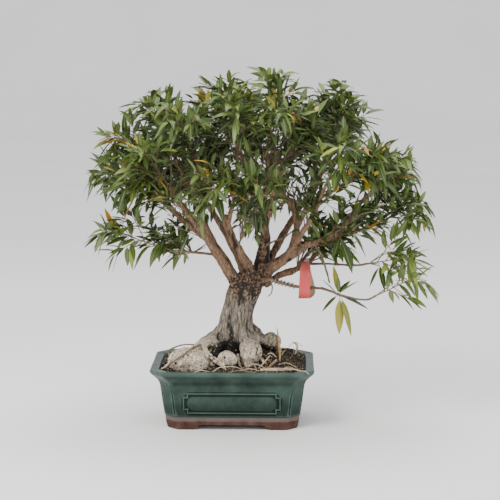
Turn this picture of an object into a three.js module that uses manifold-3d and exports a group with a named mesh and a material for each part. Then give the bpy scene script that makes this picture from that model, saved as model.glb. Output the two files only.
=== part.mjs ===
// Willow leaf ficus bonsai in a glazed pot with cut corners. Millimetres, +Z up, the front of the pot
// towards -Y. The tree is laid out about the middle of the pot, on the table, and the whole is moved at
// the end so that the origin is under the middle of its box.

import * as THREE from 'three';
import { mergeVertices } from 'three/addons/utils/BufferGeometryUtils.js';
import Module from 'manifold-3d';

const wasm = await Module();
wasm.setup();

// Where the middle of the whole lies from the middle of the pot.
const MIDDLE_X = 42;
const MIDDLE_Y = 4;

// Pot
const POT_WIDTH = 250;
const POT_DEPTH = 178;
const POT_HEIGHT = 94;
const CORNER_CUT = 19;
const FOOT_HEIGHT = 8;
const FLOOR_TOP = 15;
const GLAZE_BOTTOM = 20.5;
// Outside of the pot, from the foot band up: height over the table, and how far it stands in from the
// rim.
const POT_OUTSIDE = [
  [FOOT_HEIGHT, 23.4],
  [GLAZE_BOTTOM, 22.2],
  [GLAZE_BOTTOM + 1.2, 21],
  [POT_HEIGHT - 26, 14.8],
  [POT_HEIGHT - 19.5, 12.7],
  [POT_HEIGHT - 14, 8.7],
  [POT_HEIGHT - 8.5, 3.3],
  [POT_HEIGHT - 5, 0.4],
  [POT_HEIGHT - 1.5, 0],
  [POT_HEIGHT, 1.4],
];
const POT_INSIDE = [
  [FLOOR_TOP, 28],
  [FLOOR_TOP + 8, 26.4],
  [POT_HEIGHT - 22, 20],
  [POT_HEIGHT - 10, 15],
  [POT_HEIGHT, 13.2],
];
const FOOT_LENGTH = 56;
const FOOT_DEPTH = 30;
const FOOT_THICKNESS = 11;
// Height, inset of the outline, how much shorter than the foot's full length.
const FOOT_LEVELS = [[0, 25.5, 15], [FOOT_HEIGHT * 0.55, 24.2, 6], [FOOT_HEIGHT + 1, 23.5, 0]];
const DRAIN_RADIUS = 11;
const DRAIN_X = 52;
const DRAIN_SIDES = 16;
const PANEL_HALF_WIDTH = 75;
const PANEL_BOTTOM = 26;
const PANEL_TOP = 60;
const PANEL_NOTCH = 7;
const PANEL_RIB = 3;
const PANEL_PROUD = 1.6;

const CLEARANCE = 0.35;
const ROOT_CLEARANCE = 0.5;

// Soil: the level at the walls, the mounds over it and how far it keeps from the pot.
const SOIL_LEVEL = 89;
const SOIL_UNEVEN = 1.6;
const SOIL_GRID_X = 9;
const SOIL_GRID_Y = 6;
const SOIL_MOUNDS = [
  { x: 0, y: 8, rise: 13, reach: 55 },
  { x: 84, y: 22, rise: 17, reach: 30 },
  { x: -60, y: 20, rise: 8, reach: 42 },
  { x: 60, y: -30, rise: 5, reach: 30 },
];
// Loose litter in the soil, as points with their radius, and a dry leaf that stands in it.
const PALE_STICK = [[43, -58, 92, 2.6], [66, -59, 93, 3.1], [91, -56, 92.5, 2.3]];
const BARK_CHIP = [[51, -51, 88, 1.7], [60, -45, 98, 2.1], [68, -41, 105, 1.5]];
const LITTER_SIDES = 5;
const DRY_LEAF_FOOT = [73, -24, 90];
const DRY_LEAF_TIP = [66, -6, 154];
const DRY_LEAF_WIDTH = 6;
const DRY_LEAF_DROOP = 0.03;
const DRY_LEAF_HOLE = 1.3;
const SCREEN_SIZE = 32;
const SCREEN_THICKNESS = 1;
const SCREEN_PITCH = 9;
const SCREEN_HOLE = 6;

// Trunk: centre x, y, height, half width across the front, half depth.
const TRUNK = [
  [0, 12, 80, 26, 22],
  [-3, 10, 106, 30, 24],
  [-4, 6, 128, 33, 27],
  [2, 1, 147, 27, 25],
  [5, 0, 166, 25, 23],
  [9, 0, 181, 25, 22],
  [14, 0, 197, 26, 22],
  [20, 0, 214, 27, 22],
  [27, 1, 229, 24, 20],
  [31, 2, 240, 15, 13],
];
const TRUNK_SIDES = 13;
// Ribs up the trunk, as shares of its radius, that fade out upwards.
const BROAD_RIBS = { count: 5, depth: 0.09, start: 0.9 };
const NARROW_RIBS = { count: 8, depth: 0.05, twist: 22 };
const RIB_END = 190;
const RIB_FADE = 90;
const RIB_LEAST = 0.15;

// Roots above and in the soil: points with their radius.
const ROOTS = [
  [[-4, 0, 148, 18], [-20, -2, 134, 15], [-36, -6, 125, 13], [-54, -10, 113, 11], [-76, -14, 98, 8.5],
    [-90, -16, 82, 6]],
  [[-18, -6, 128, 11], [-26, -18, 112, 9], [-30, -28, 98, 7], [-34, -36, 80, 5]],
  [[14, -8, 140, 14], [23, -22, 122, 14], [27, -33, 104, 12], [27, -40, 80, 8]],
  [[22, 0, 142, 15], [42, 0, 127, 12], [60, 6, 112, 9], [74, 12, 98, 7], [80, 14, 82, 4]],
  [[0, 10, 142, 16], [-16, 32, 118, 12], [-36, 50, 101, 8], [-48, 56, 84, 5]],
  [[16, 10, 142, 15], [30, 34, 118, 11], [34, 52, 100, 7], [46, 62, 82, 4]],
  [[-46, -16, 125, 4], [-39, -32, 113, 3.6], [-27, -45, 105, 3.5], [-14, -56, 97, 3.2], [-6, -61, 84, 2.6]],
];
const ROOT_SIDES = 6;
const THIN_ROOT_SIDES = 5;
// Swollen, potato-like root bodies: centre, half sizes, lean in degrees.
const SWELLINGS = [
  [[-67, -37, 99], [32, 25, 23], -6],
  [[-7, -45, 107], [15.5, 12, 11.5], -22],
  [[28, -27, 115], [17, 15, 20], 8],
  [[57, -4, 126], [17, 13, 14], 0],
];
const SWELLING_SIDES = 9;
const SWELLING_ROWS = 5;

// Limbs read off the photograph, each a list of points with its radius, from inside the trunk outwards.
const LIMBS = {
  left: [[14, -3, 206, 12], [5, -8, 219, 10.5], [-11, -10, 246, 9.5], [-28, -12, 273, 8.4],
    [-40, -14, 291, 7]],
  left_low: [[-38, -14, 288, 6.4], [-60, -12, 303, 5], [-84, -6, 322, 4], [-112, 0, 345, 3.2],
    [-145, 6, 362, 2.4]],
  left_high: [[-26, -12, 270, 6.6], [-42, -16, 308, 5.4], [-58, -14, 345, 4.2], [-80, -8, 392, 3.2],
    [-98, -4, 432, 2.4]],
  left_mid: [[-38, -14, 290, 5.6], [-62, -22, 322, 4.4], [-92, -26, 358, 3.4], [-126, -24, 396, 2.5]],
  front: [[33, -14, 218, 8], [23, -24, 250, 7.4], [8, -28, 273, 6.8], [-1, -30, 293, 6.2],
    [-8, -31, 311, 5.6], [-12, -31, 326, 4.6]],
  front_left: [[-9, -31, 314, 4.2], [-24, -44, 346, 3.6], [-42, -62, 386, 2.9], [-56, -80, 424, 2.2]],
  front_right: [[-7, -30, 312, 4], [2, -48, 350, 3.4], [8, -72, 396, 2.7], [10, -92, 440, 2.1]],
  centre: [[36, 4, 212, 13], [39, 5, 232, 12], [46, 5, 262, 10.8], [49, 4, 288, 8.2], [49, 4, 306, 5.8],
    [48, 4, 320, 5.4], [45, 6, 347, 5], [35, 9, 356, 4.4], [22, 11, 388, 3.8], [13, 13, 410, 3.2],
    [4, 14, 450, 2.4]],
  centre_stub: [[44, 4, 276, 5], [36, -4, 291, 4.2]],
  centre_top: [[46, 5, 340, 4.4], [54, 0, 378, 3.6], [52, -6, 418, 2.9], [58, -8, 462, 2.2]],
  centre_front: [[49, 2, 300, 4.4], [58, -28, 340, 3.8], [66, -62, 388, 3], [66, -88, 432, 2.2]],
  centre_back: [[47, 6, 308, 4.6], [36, 42, 352, 3.8], [26, 80, 400, 3], [20, 104, 442, 2.2]],
  right: [[42, 0, 222, 12], [54, -2, 239, 10.4], [75, -6, 253, 9], [97, -10, 268, 8], [108, -12, 279, 7]],
  right_out: [[105, -12, 277, 6], [132, -14, 284, 5], [156, -16, 295, 4.2], [178, -18, 322, 3.4],
    [204, -20, 356, 2.5]],
  right_low: [[104, -10, 276, 5.4], [134, 8, 279, 4.4], [170, 18, 288, 3.6], [200, 22, 298, 2.6],
    [224, 24, 308, 2]],
  right_up: [[88, -8, 262, 6.4], [95, -6, 288, 5.8], [98, -2, 306, 5.2], [95, 2, 324, 4.6],
    [86, 6, 341, 4.2], [76, 9, 355, 3.8], [72, 12, 374, 3.3], [82, 18, 420, 2.4]],
  right_high: [[97, -3, 304, 4.4], [118, -8, 348, 3.6], [138, -10, 396, 2.9], [152, -8, 438, 2.2]],
  right_front: [[78, -8, 256, 5.4], [98, -38, 288, 4.4], [122, -70, 332, 3.4], [140, -94, 380, 2.4]],
  right_back: [[42, 12, 228, 8], [64, 42, 264, 6], [90, 76, 306, 4.6], [122, 100, 352, 3.4],
    [146, 112, 398, 2.4]],
  left_back: [[22, 12, 222, 8.4], [2, 40, 262, 6.4], [-26, 72, 304, 4.8], [-58, 96, 352, 3.4],
    [-80, 108, 402, 2.4]],
  left_front: [[-6, -12, 240, 6], [-30, -42, 280, 4.6], [-62, -72, 328, 3.4], [-92, -90, 376, 2.4]],
  behind: [[48, 10, 212, 6.4], [70, 18, 226, 5.4], [95, 24, 234, 4.8], [117, 28, 246, 4.3],
    [134, 32, 264, 3.8], [150, 36, 276, 3.4], [186, 44, 298, 2.8], [216, 50, 330, 2.2]],
  wrapped: [[44, -10, 222, 4.2], [57, -17, 225, 3.1], [69, -17, 221, 2.8], [81, -16, 218, 2.6],
    [96, -14, 214, 2.5], [121, -14, 212, 2.3], [137, -20, 212, 2.1], [150, -28, 209, 1.9],
    [172, -35, 202, 1.8], [203, -39, 198, 1.7], [218, -41, 205, 1.6]],
  level_twig: [[114, 27, 243, 2.2], [150, 6, 246, 1.7], [186, -14, 247, 1.6], [208, -20, 251, 1.5]],
  hanging_twig: [[122, -13, 283, 2], [134, -18, 266, 1.7], [143, -24, 240, 1.5], [148, -28, 222, 1.2]],
  low_left_twig: [[-22, -13, 262, 2.4], [-59, -18, 267, 1.8], [-94, -20, 270, 1.7], [-122, -20, 279, 1.6]],
  dead_twig: [[50, -2, 276, 2], [64, -10, 284, 1.4], [78, -14, 289, 1.2], [93, -18, 302, 0.9]],
  hanging_root: [[50, -8, 222, 1.8], [60, -16, 216, 1.2], [59, -18, 204, 1], [54, -18, 199, 0.8]],
};
const LIMB_SIDES = (radius) => (radius > 7 ? 7 : radius > 4.9 ? 5 : radius > 2.6 ? 4 : 3);
// Limbs that end bare. Every other limb carries a spray at its end.
const BARE_LIMBS = ['left', 'front', 'right', 'centre_stub', 'hanging_twig', 'dead_twig', 'hanging_root'];

// Wire wound round the low branch, from one of its stations to another.
const WIRE_FROM = 1;
const WIRE_TO = 4;
const WIRE_TURNS = 7;
const WIRE_STEPS = 6;
const WIRE_RADIUS = 0.75;

// Label: a plastic band hung over the limb behind. Its outer line as y and height, and what varies with
// the height.
const LABEL_LOOP = [
  [29.5, 251.6], [22, 250.7], [14, 249.8], [4, 248.4], [-6, 245.6], [-15, 240], [-21, 231], [-23.6, 218],
  [-22, 205], [-15.5, 196.5], [-5, 194.3], [8, 197.5], [19, 206], [27.5, 218], [33, 231], [35.4, 246.5],
];
const LABEL_THICKNESS = 0.8;
const LABEL_HALF_WIDTHS = [8.5, 4.5];
const LABEL_SHOULDER = [230, 247];
const LABEL_X = [109, 111.5];
const LABEL_HEIGHTS = [194.3, 251.6];

// Crown: the outline seen from the front as x and height, about its middle, and how deep it is.
const CROWN_MIDDLE = [25, 370];
const CROWN_HALF_DEPTH = 190;
const CROWN_OUTLINE = [
  [312, 285], [294, 342], [284, 382], [270, 415], [278, 450], [244, 477], [205, 503], [150, 523],
  [91, 533], [45, 546], [-15, 538], [-75, 524], [-125, 506], [-160, 487], [-205, 463], [-222, 435],
  [-239, 386], [-237, 350], [-226, 318], [-190, 296], [-140, 278], [-100, 268], [-60, 290], [0, 330],
  [60, 335], [110, 310], [160, 275], [215, 255], [270, 255],
];
// Lowest twig tips at the sides and at the front and back, and the open space over the limbs.
const CROWN_SKIRT = [285, 375];
const CROWN_SKIRT_SIDE = [0.15, 0.6];
const CROWN_SHRINK = [0.9, 1];
const BARE_HALF_WIDTH = 90;
const BARE_HEIGHT = 350;
const CROWN_SPRAYS = 19;
const TRIES_PER_SPRAY = 24;
const LEAF_REACH = 27;

// Grown branches: what makes an origin unlikely, how they head for their tip, and how they thicken.
const THICKEST_ORIGIN = 9;
const TURN_COST = 0.45;
const SHORT_COST = 1.5;
const DROP_COST = 0.6;
const HEADING_AWAY = 0.6;
const HEADING_OUT = 0.4;
const HEADING_UP = 0.12;
const START_PULL = 0.3;
const END_PULL = 0.35;
const BRANCH_WIGGLE = 0.04;
const BRANCH_TAPER = 0.25;
const LOAD_POWER = 0.42;

// Twigs and leaves of a spray.
const SHORTEST_BRANCH = 26;
const BRANCH_STEPS = 3;
const BRANCH_END_RADIUS = 1.45;
const TWIG_RADIUS = 1.3;
const TWIG_TIP_RADIUS = 0.85;
const TWIG_SIDES = 4;
const SPRAY_LENGTH = 62;
const SPRAY_RISE = 4;
const SIDE_TWIGS = 2;
const SIDE_TWIG_STARTS = [0.3, 0.55, 0.42, 0.7, 0.2, 0.85];
// Length of a side twig that leaves at the base and at the tip, what it varies by, and how it leaves.
const SIDE_TWIG_LENGTH = [50, 31];
const SIDE_TWIG_VARIES = [0.75, 1.1];
const SIDE_TWIG_OPENING = [0.65, 0.95];
const SIDE_TWIG_RISE = 0.12;
// Thickness of a side twig as a share of the main one's.
const SIDE_TWIG_START = 0.6;
const SIDE_TWIG_END = 0.85;
const LEAF_SLOTS = 8;
const MAIN_TWIG_LEAVES = [7, 6, 5, 3, 1];
const SIDE_TWIG_LEAVES = [7, 5, 2];
const TURN = 2.39996;
const LEAF_LENGTH = [33, 49];
const LEAF_SLENDERNESS = 5.2;
const LEAF_WIDTH_VARIES = [0.88, 1.12];
const LEAF_DROOP = [0.02, 0.3];
// From the innermost slot to the outermost: place along the twig, opening from it in radians, loss of length.
const LEAF_PLACES = [0.34, 0.98];
const LEAF_OPENING = [1.15, 0.55];
const LEAF_OPENING_VARIES = 0.12;
const LEAF_SHRINK = 0.12;
const LEAF_SUNK = 0.7;
const LEAF_THICKNESS = 1.2;
const LEAF_WIDEST = 0.42;
// Turns round the twig that a leaf tries, in radians, until it is clear of other leaves.
const LEAF_ROLLS = [0, 0.8, -0.8, 1.6, -1.6, 2.4, -2.4, 3.14];
const CELL_SIZE = 12;

const material = (color, roughness, metalness = 0) => (
  new THREE.MeshStandardMaterial({ color, roughness, metalness })
);
const GLAZE = material(0x3a5a50, 0.25);
const SOIL = material(0x3a2c22, 0.95);
const SCREEN = material(0x2b2b2b, 0.7);
const BARK = material(0x8a7560, 0.85);
const LEAF = material(0x4d6b35, 0.5);
const LABEL = material(0xcd5757, 0.45);
const WIRE = material(0x8c8880, 0.45, 0.6);
const DRY_LEAF = material(0xa8683c, 0.8);
const DRY_WOOD = material(0xb09a80, 0.9);

const vector = ([x, y, z]) => new THREE.Vector3(x, y, z);
const UP = new THREE.Vector3(0, 0, 1);
// Where the crown seems to spring from.
const CROWN_ROOT = new THREE.Vector3(30, 0, 250);

// A number from 0 to 1 that depends only on the whole numbers given: every random choice on the tree is
// drawn here.
function chance(...keys) {
  let hash = 2166136261;
  for (const key of keys) {
    hash = Math.imul(hash ^ key, 16777619);
    hash = Math.imul(hash ^ (hash >>> 15), 2246822519);
  }
  hash = Math.imul(hash ^ (hash >>> 13), 3266489917);
  return ((hash ^ (hash >>> 16)) >>> 0) / 4294967296;
}
const between = (low, high, ...keys) => low + (high - low) * chance(...keys);
const KEY = { crown: 1, bend: 2, twig: 4, leaf: 5, soil: 6 };

// A closed three.js geometry made into a solid that can be joined and cut.
function solid(geometry) {
  const bare = geometry.index ? geometry.toNonIndexed() : geometry.clone();
  bare.deleteAttribute('normal');
  bare.deleteAttribute('uv');
  const merged = mergeVertices(bare, 1e-4);
  return new wasm.Manifold(new wasm.Mesh({
    numProp: 3,
    vertProperties: new Float32Array(merged.attributes.position.array),
    triVerts: new Uint32Array(merged.index.array),
  }));
}

const join = (bodies) => bodies.reduce((whole, body) => whole.add(body));

function geometryOf(body) {
  const mesh = body.getMesh();
  const geometry = new THREE.BufferGeometry();
  geometry.setAttribute('position', new THREE.BufferAttribute(new Float32Array(mesh.vertProperties), 3));
  geometry.setIndex(new THREE.BufferAttribute(new Uint32Array(mesh.triVerts), 1));
  geometry.computeVertexNormals();
  return geometry;
}

function meshOf(coordinates, faces) {
  const geometry = new THREE.BufferGeometry();
  geometry.setAttribute('position', new THREE.Float32BufferAttribute(coordinates, 3));
  geometry.setIndex(faces);
  return geometry;
}

// A closed skin over rings of equal count, each a list of Vector3 that runs anticlockwise seen from the
// last ring.
function loft(rings) {
  const count = rings[0].length;
  const points = rings.flat();
  const faces = [];
  for (let ring = 0; ring + 1 < rings.length; ring++) {
    for (let i = 0; i < count; i++) {
      const a = ring * count + i;
      const b = ring * count + (i + 1) % count;
      faces.push(a, b, b + count, a, b + count, a + count);
    }
  }
  const last = (rings.length - 1) * count;
  for (let i = 1; i + 1 < count; i++) {
    faces.push(0, i + 1, i);
    faces.push(last, last + i, last + i + 1);
  }
  return meshOf(points.flatMap((p) => [p.x, p.y, p.z]), faces);
}

// One level of the pot: a rectangle with cut corners, standing in from the rim by inset.
function potRing(height, inset) {
  const x = POT_WIDTH / 2 - inset;
  const y = POT_DEPTH / 2 - inset;
  const cut = CORNER_CUT - inset * 0.1;
  return [
    [x - cut, -y], [x, -y + cut], [x, y - cut], [x - cut, y],
    [-x + cut, y], [-x, y - cut], [-x, -y + cut], [-x + cut, -y],
  ].map(([px, py]) => new THREE.Vector3(px, py, height));
}

const potRings = (levels) => levels.map(([height, inset]) => potRing(height, inset));

const insetAt = (levels, height) => {
  for (let i = 0; i + 1 < levels.length; i++) {
    const [low, lowInset] = levels[i];
    const [high, highInset] = levels[i + 1];
    if (height <= high) return lowInset + (highInset - lowInset) * (height - low) / (high - low);
  }
  return levels.at(-1)[1];
};

// A foot wraps a cut corner: the corner of the pot's own outline, tapered to the ends and slightly
// inwards below.
function foot(sideX, sideY) {
  const outline = (height, inset, shorten) => {
    const x = POT_WIDTH / 2 - inset;
    const y = POT_DEPTH / 2 - inset;
    const cut = CORNER_CUT - inset * 0.1;
    const lengthEnd = x - FOOT_LENGTH + shorten;
    const depthEnd = y - FOOT_DEPTH + shorten;
    const innerX = x - FOOT_THICKNESS;
    const innerY = y - FOOT_THICKNESS;
    return [
      [lengthEnd, y], [x - cut, y], [x, y - cut], [x, depthEnd],
      [innerX, depthEnd], [innerX - cut * 0.4, innerY], [lengthEnd, innerY],
    ].map(([px, py]) => new THREE.Vector3(px * sideX, py * sideY, height));
  };
  const rings = FOOT_LEVELS.map(([height, inset, shorten]) => outline(height, inset, shorten));
  if (sideX * sideY > 0) rings.forEach((ring) => ring.reverse());
  return solid(loft(rings));
}

// The raised frame of a long side: a flat rib with notched corners, laid in the slope of the wall.
function panelRib(sideY) {
  const notched = (grow) => {
    const x = PANEL_HALF_WIDTH + grow;
    const low = PANEL_BOTTOM - grow;
    const high = PANEL_TOP + grow;
    const notch = PANEL_NOTCH;
    return [
      [-x + notch, low], [x - notch, low], [x - notch, low + notch], [x, low + notch],
      [x, high - notch], [x - notch, high - notch], [x - notch, high], [-x + notch, high],
      [-x + notch, high - notch], [-x, high - notch], [-x, low + notch], [-x + notch, low + notch],
    ].map(([px, pz]) => new THREE.Vector2(px, pz));
  };
  const shape = new THREE.Shape(notched(0));
  shape.holes.push(new THREE.Path(notched(-PANEL_RIB)));
  const slab = new THREE.ExtrudeGeometry(shape, { depth: 2, bevelEnabled: false });
  slab.rotateX(Math.PI / 2);
  slab.translate(0, 1, 0);
  // Lean the rib with the wall, with its back sunk in the wall and its front proud of it.
  const lowInset = insetAt(POT_OUTSIDE, PANEL_BOTTOM);
  const highInset = insetAt(POT_OUTSIDE, PANEL_TOP);
  const position = slab.attributes.position;
  for (let i = 0; i < position.count; i++) {
    const climb = (position.getZ(i) - PANEL_BOTTOM) / (PANEL_TOP - PANEL_BOTTOM);
    const wall = lowInset + (highInset - lowInset) * climb - POT_DEPTH / 2;
    position.setY(i, position.getY(i) < 0 ? wall - PANEL_PROUD : wall + 2);
  }
  if (sideY > 0) slab.rotateZ(Math.PI);
  return solid(slab);
}

function drainHole(x) {
  const geometry = new THREE.CylinderGeometry(DRAIN_RADIUS, DRAIN_RADIUS, 2 * FLOOR_TOP, DRAIN_SIDES);
  geometry.rotateX(Math.PI / 2);
  geometry.translate(x, 0, FLOOR_TOP);
  return solid(geometry);
}

function boxAt(width, depth, low, high, x = 0, y = 0) {
  const geometry = new THREE.BoxGeometry(width, depth, high - low);
  geometry.translate(x, y, (low + high) / 2);
  return solid(geometry);
}

function makePot() {
  let body = solid(loft(potRings(POT_OUTSIDE)));
  for (const sideX of [-1, 1]) {
    for (const sideY of [-1, 1]) body = body.add(foot(sideX, sideY));
  }
  const inside = POT_INSIDE.concat([[POT_HEIGHT + 5, POT_INSIDE.at(-1)[1]]]);
  body = body.subtract(solid(loft(potRings(inside))));
  body = body.add(panelRib(-1)).add(panelRib(1));
  for (const side of [-1, 1]) body = body.subtract(drainHole(side * DRAIN_X));
  return body;
}

// A square of mesh over a drain hole, with a grid of openings.
function makeScreen(x) {
  const low = FLOOR_TOP + CLEARANCE;
  let body = boxAt(SCREEN_SIZE, SCREEN_SIZE, low, low + SCREEN_THICKNESS, x);
  for (const column of [-0.5, 0.5]) {
    for (const row of [-0.5, 0.5]) {
      const middleX = x + column * SCREEN_PITCH;
      const middleY = row * SCREEN_PITCH;
      const opening = boxAt(SCREEN_HOLE, SCREEN_HOLE, 0, low + 2 * SCREEN_THICKNESS, middleX, middleY);
      body = body.subtract(opening);
    }
  }
  return body;
}

// A round bar through points with a radius at each, its rings square to the path.
function tube(stations, sides, grow = 0) {
  const centres = stations.map(vector);
  const tangentAt = (i) => centres[Math.min(i + 1, centres.length - 1)].clone()
    .sub(centres[Math.max(i - 1, 0)]).normalize();
  let across = new THREE.Vector3();
  const first = tangentAt(0);
  const reference = Math.abs(first.z) > 0.9 ? new THREE.Vector3(1, 0, 0) : UP;
  across.crossVectors(reference, first).normalize();
  const rings = centres.map((centre, i) => {
    const tangent = tangentAt(i);
    across.addScaledVector(tangent, -across.dot(tangent)).normalize();
    const over = new THREE.Vector3().crossVectors(tangent, across);
    const radius = stations[i][3] + grow;
    return Array.from({ length: sides }, (_, k) => {
      const angle = 2 * Math.PI * k / sides;
      return centre.clone()
        .addScaledVector(across, radius * Math.cos(angle))
        .addScaledVector(over, radius * Math.sin(angle));
    });
  });
  return loft(rings);
}

// The trunk: ovals with five soft buttresses that fade upwards.
function trunkGeometry(grow = 0) {
  const rings = TRUNK.map(([x, y, height, halfWidth, halfDepth]) => {
    const fade = THREE.MathUtils.clamp((RIB_END - height) / RIB_FADE, RIB_LEAST, 1);
    return Array.from({ length: TRUNK_SIDES }, (_, k) => {
      const angle = 2 * Math.PI * k / TRUNK_SIDES;
      const broad = BROAD_RIBS.depth * Math.cos(BROAD_RIBS.count * angle + BROAD_RIBS.start);
      const narrow = NARROW_RIBS.depth * Math.cos(NARROW_RIBS.count * angle + height / NARROW_RIBS.twist);
      const rib = 1 + fade * (broad + narrow);
      return new THREE.Vector3(
        x + (halfWidth * rib + grow) * Math.cos(angle),
        y + (halfDepth * rib + grow) * Math.sin(angle),
        height,
      );
    });
  });
  return loft(rings);
}

function swelling([centre, halfSizes, lean], grow = 0) {
  const geometry = new THREE.SphereGeometry(1, SWELLING_SIDES, SWELLING_ROWS);
  geometry.rotateX(Math.PI / 2);
  geometry.scale(...halfSizes.map((half) => half + grow));
  geometry.rotateY(THREE.MathUtils.degToRad(-lean));
  geometry.translate(...centre);
  return geometry;
}

function rootParts(grow = 0) {
  return [
    solid(trunkGeometry(grow)),
    ...ROOTS.map((root) => solid(tube(root, root[0][3] > 5 ? ROOT_SIDES : THIN_ROOT_SIDES, grow))),
    ...SWELLINGS.map((body) => solid(swelling(body, grow))),
  ];
}

// The dry leaf and the round hole in the soil that it stands in.
function dryLeafGeometry() {
  const root = vector(DRY_LEAF_FOOT);
  const aim = vector(DRY_LEAF_TIP).sub(root);
  const length = aim.length();
  return bladeGeometry({ root, aim: aim.normalize(), length, width: DRY_LEAF_WIDTH, droop: DRY_LEAF_DROOP });
}

function dryLeafHole() {
  const start = vector(DRY_LEAF_FOOT);
  const end = vector(DRY_LEAF_TIP);
  start.addScaledVector(end.clone().sub(start).normalize(), -DRY_LEAF_HOLE);
  return tube([start, end].map((point) => [point.x, point.y, point.z, DRY_LEAF_HOLE]), LITTER_SIDES);
}

// Height of the soil's surface: mounds, a fine unevenness, and level with itself at the walls.
function soilHeight(x, y, column, row) {
  let height = SOIL_LEVEL;
  for (const mound of SOIL_MOUNDS) {
    const away = Math.hypot(x - mound.x, y - mound.y) / mound.reach;
    height += mound.rise * Math.exp(-away * away);
  }
  return height + between(-SOIL_UNEVEN, SOIL_UNEVEN, KEY.soil, column, row);
}

function makeSoil() {
  const inside = POT_INSIDE.map(([height, inset]) => [height, inset + CLEARANCE]);
  inside[0][0] += CLEARANCE;
  inside.push([POT_HEIGHT + 40, POT_INSIDE.at(-1)[1] + CLEARANCE]);
  const filling = solid(loft(potRings(inside)));
  // The surface is a grid over a slab that is cut to the inside of the pot.
  const width = POT_WIDTH;
  const depth = POT_DEPTH;
  const slab = new THREE.BoxGeometry(width, depth, 100, SOIL_GRID_X, SOIL_GRID_Y, 1);
  const position = slab.attributes.position;
  for (let i = 0; i < position.count; i++) {
    const x = position.getX(i);
    const y = position.getY(i);
    const column = Math.round((x / width + 0.5) * SOIL_GRID_X);
    const row = Math.round((y / depth + 0.5) * SOIL_GRID_Y);
    position.setZ(i, position.getZ(i) > 0 ? soilHeight(x, y, column, row) : 0);
  }
  let body = filling.intersect(solid(slab));
  for (const part of rootParts(ROOT_CLEARANCE)) body = body.subtract(part);
  for (const stick of [PALE_STICK, BARK_CHIP]) {
    body = body.subtract(solid(tube(stick, LITTER_SIDES, CLEARANCE)));
  }
  body = body.subtract(solid(dryLeafHole()));
  for (const side of [-1, 1]) {
    const size = SCREEN_SIZE + 2 * CLEARANCE;
    body = body.subtract(boxAt(size, size, 0, FLOOR_TOP + SCREEN_THICKNESS + 2 * CLEARANCE, side * DRAIN_X));
  }
  return body;
}

// Distance from the middle of the crown to its outline, in the direction of angle, seen from the front.
function outlineRadius(angle) {
  const [middleX, middleZ] = CROWN_MIDDLE;
  const aimX = Math.cos(angle);
  const aimZ = Math.sin(angle);
  let reach = 0;
  CROWN_OUTLINE.forEach(([x1, z1], i) => {
    const [x2, z2] = CROWN_OUTLINE[(i + 1) % CROWN_OUTLINE.length];
    const edgeX = x2 - x1;
    const edgeZ = z2 - z1;
    const cross = aimX * edgeZ - aimZ * edgeX;
    if (Math.abs(cross) < 1e-9) return;
    const along = ((x1 - middleX) * edgeZ - (z1 - middleZ) * edgeX) / cross;
    const share = ((x1 - middleX) * aimZ - (z1 - middleZ) * aimX) / cross;
    if (along > 0 && share >= 0 && share <= 1) reach = Math.max(reach, along);
  });
  return reach;
}

// A place for a twig tip under the crown's surface, or null where the crown is open below.
function crownPlace(...keys) {
  const angle = 2 * Math.PI * chance(...keys, 1);
  const side = between(-1, 1, ...keys, 2);
  const shrink = between(...CROWN_SHRINK, ...keys, 3);
  const reach = Math.max(outlineRadius(angle) * Math.sqrt(1 - side * side) - LEAF_REACH, 0) * shrink;
  const place = new THREE.Vector3(
    CROWN_MIDDLE[0] + reach * Math.cos(angle),
    (CROWN_HALF_DEPTH - LEAF_REACH) * side * shrink,
    CROWN_MIDDLE[1] + reach * Math.sin(angle),
  );
  const lowest = THREE.MathUtils.lerp(
    ...CROWN_SKIRT,
    THREE.MathUtils.smoothstep(Math.abs(side), ...CROWN_SKIRT_SIDE),
  );
  const overLimbs = Math.abs(place.x - CROWN_MIDDLE[0]) < BARE_HALF_WIDTH && place.z < BARE_HEIGHT;
  return place.z < lowest || overLimbs ? null : place;
}

// Even spread: each new tip is the one of several draws that lies farthest from those before it.
function crownTips(taken) {
  const tips = [...taken];
  for (let spray = 0; spray < CROWN_SPRAYS; spray++) {
    let best = null;
    let bestGap = -1;
    for (let attempt = 0; attempt < TRIES_PER_SPRAY; attempt++) {
      const place = crownPlace(KEY.crown, spray, attempt);
      if (!place) continue;
      const gap = Math.min(...tips.map((tip) => tip.distanceTo(place)));
      if (gap > bestGap) {
        best = place;
        bestGap = gap;
      }
    }
    tips.push(best);
  }
  return tips.slice(taken.length);
}

// Where a branch to the given tip leaves the wood that has grown so far: near, and without turning back.
function bestOrigin(tip) {
  let best = null;
  for (const branch of wood) {
    if (branch.bare && !branch.trunkward) continue;
    branch.stations.forEach((station, i) => {
      const next = branch.stations[i + 1];
      if (!next || station[3] > THICKEST_ORIGIN || i === 0) return;
      for (const share of [0, 0.5]) {
        const from = vector(station).lerp(vector(next), share);
        const aim = vector(next).sub(vector(station)).normalize();
        const away = tip.clone().sub(from);
        const distance = away.length();
        const turn = 1 - aim.dot(away) / distance;
        const short = Math.max(0, SPRAY_LENGTH + SHORTEST_BRANCH - distance);
        const drop = Math.max(0, from.z - tip.z);
        const cost = distance * (1 + TURN_COST * turn) + SHORT_COST * short + DROP_COST * drop;
        if (!best || cost < best.cost) best = { cost, from, aim, branch, index: i };
      }
    });
  }
  return best;
}

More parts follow.
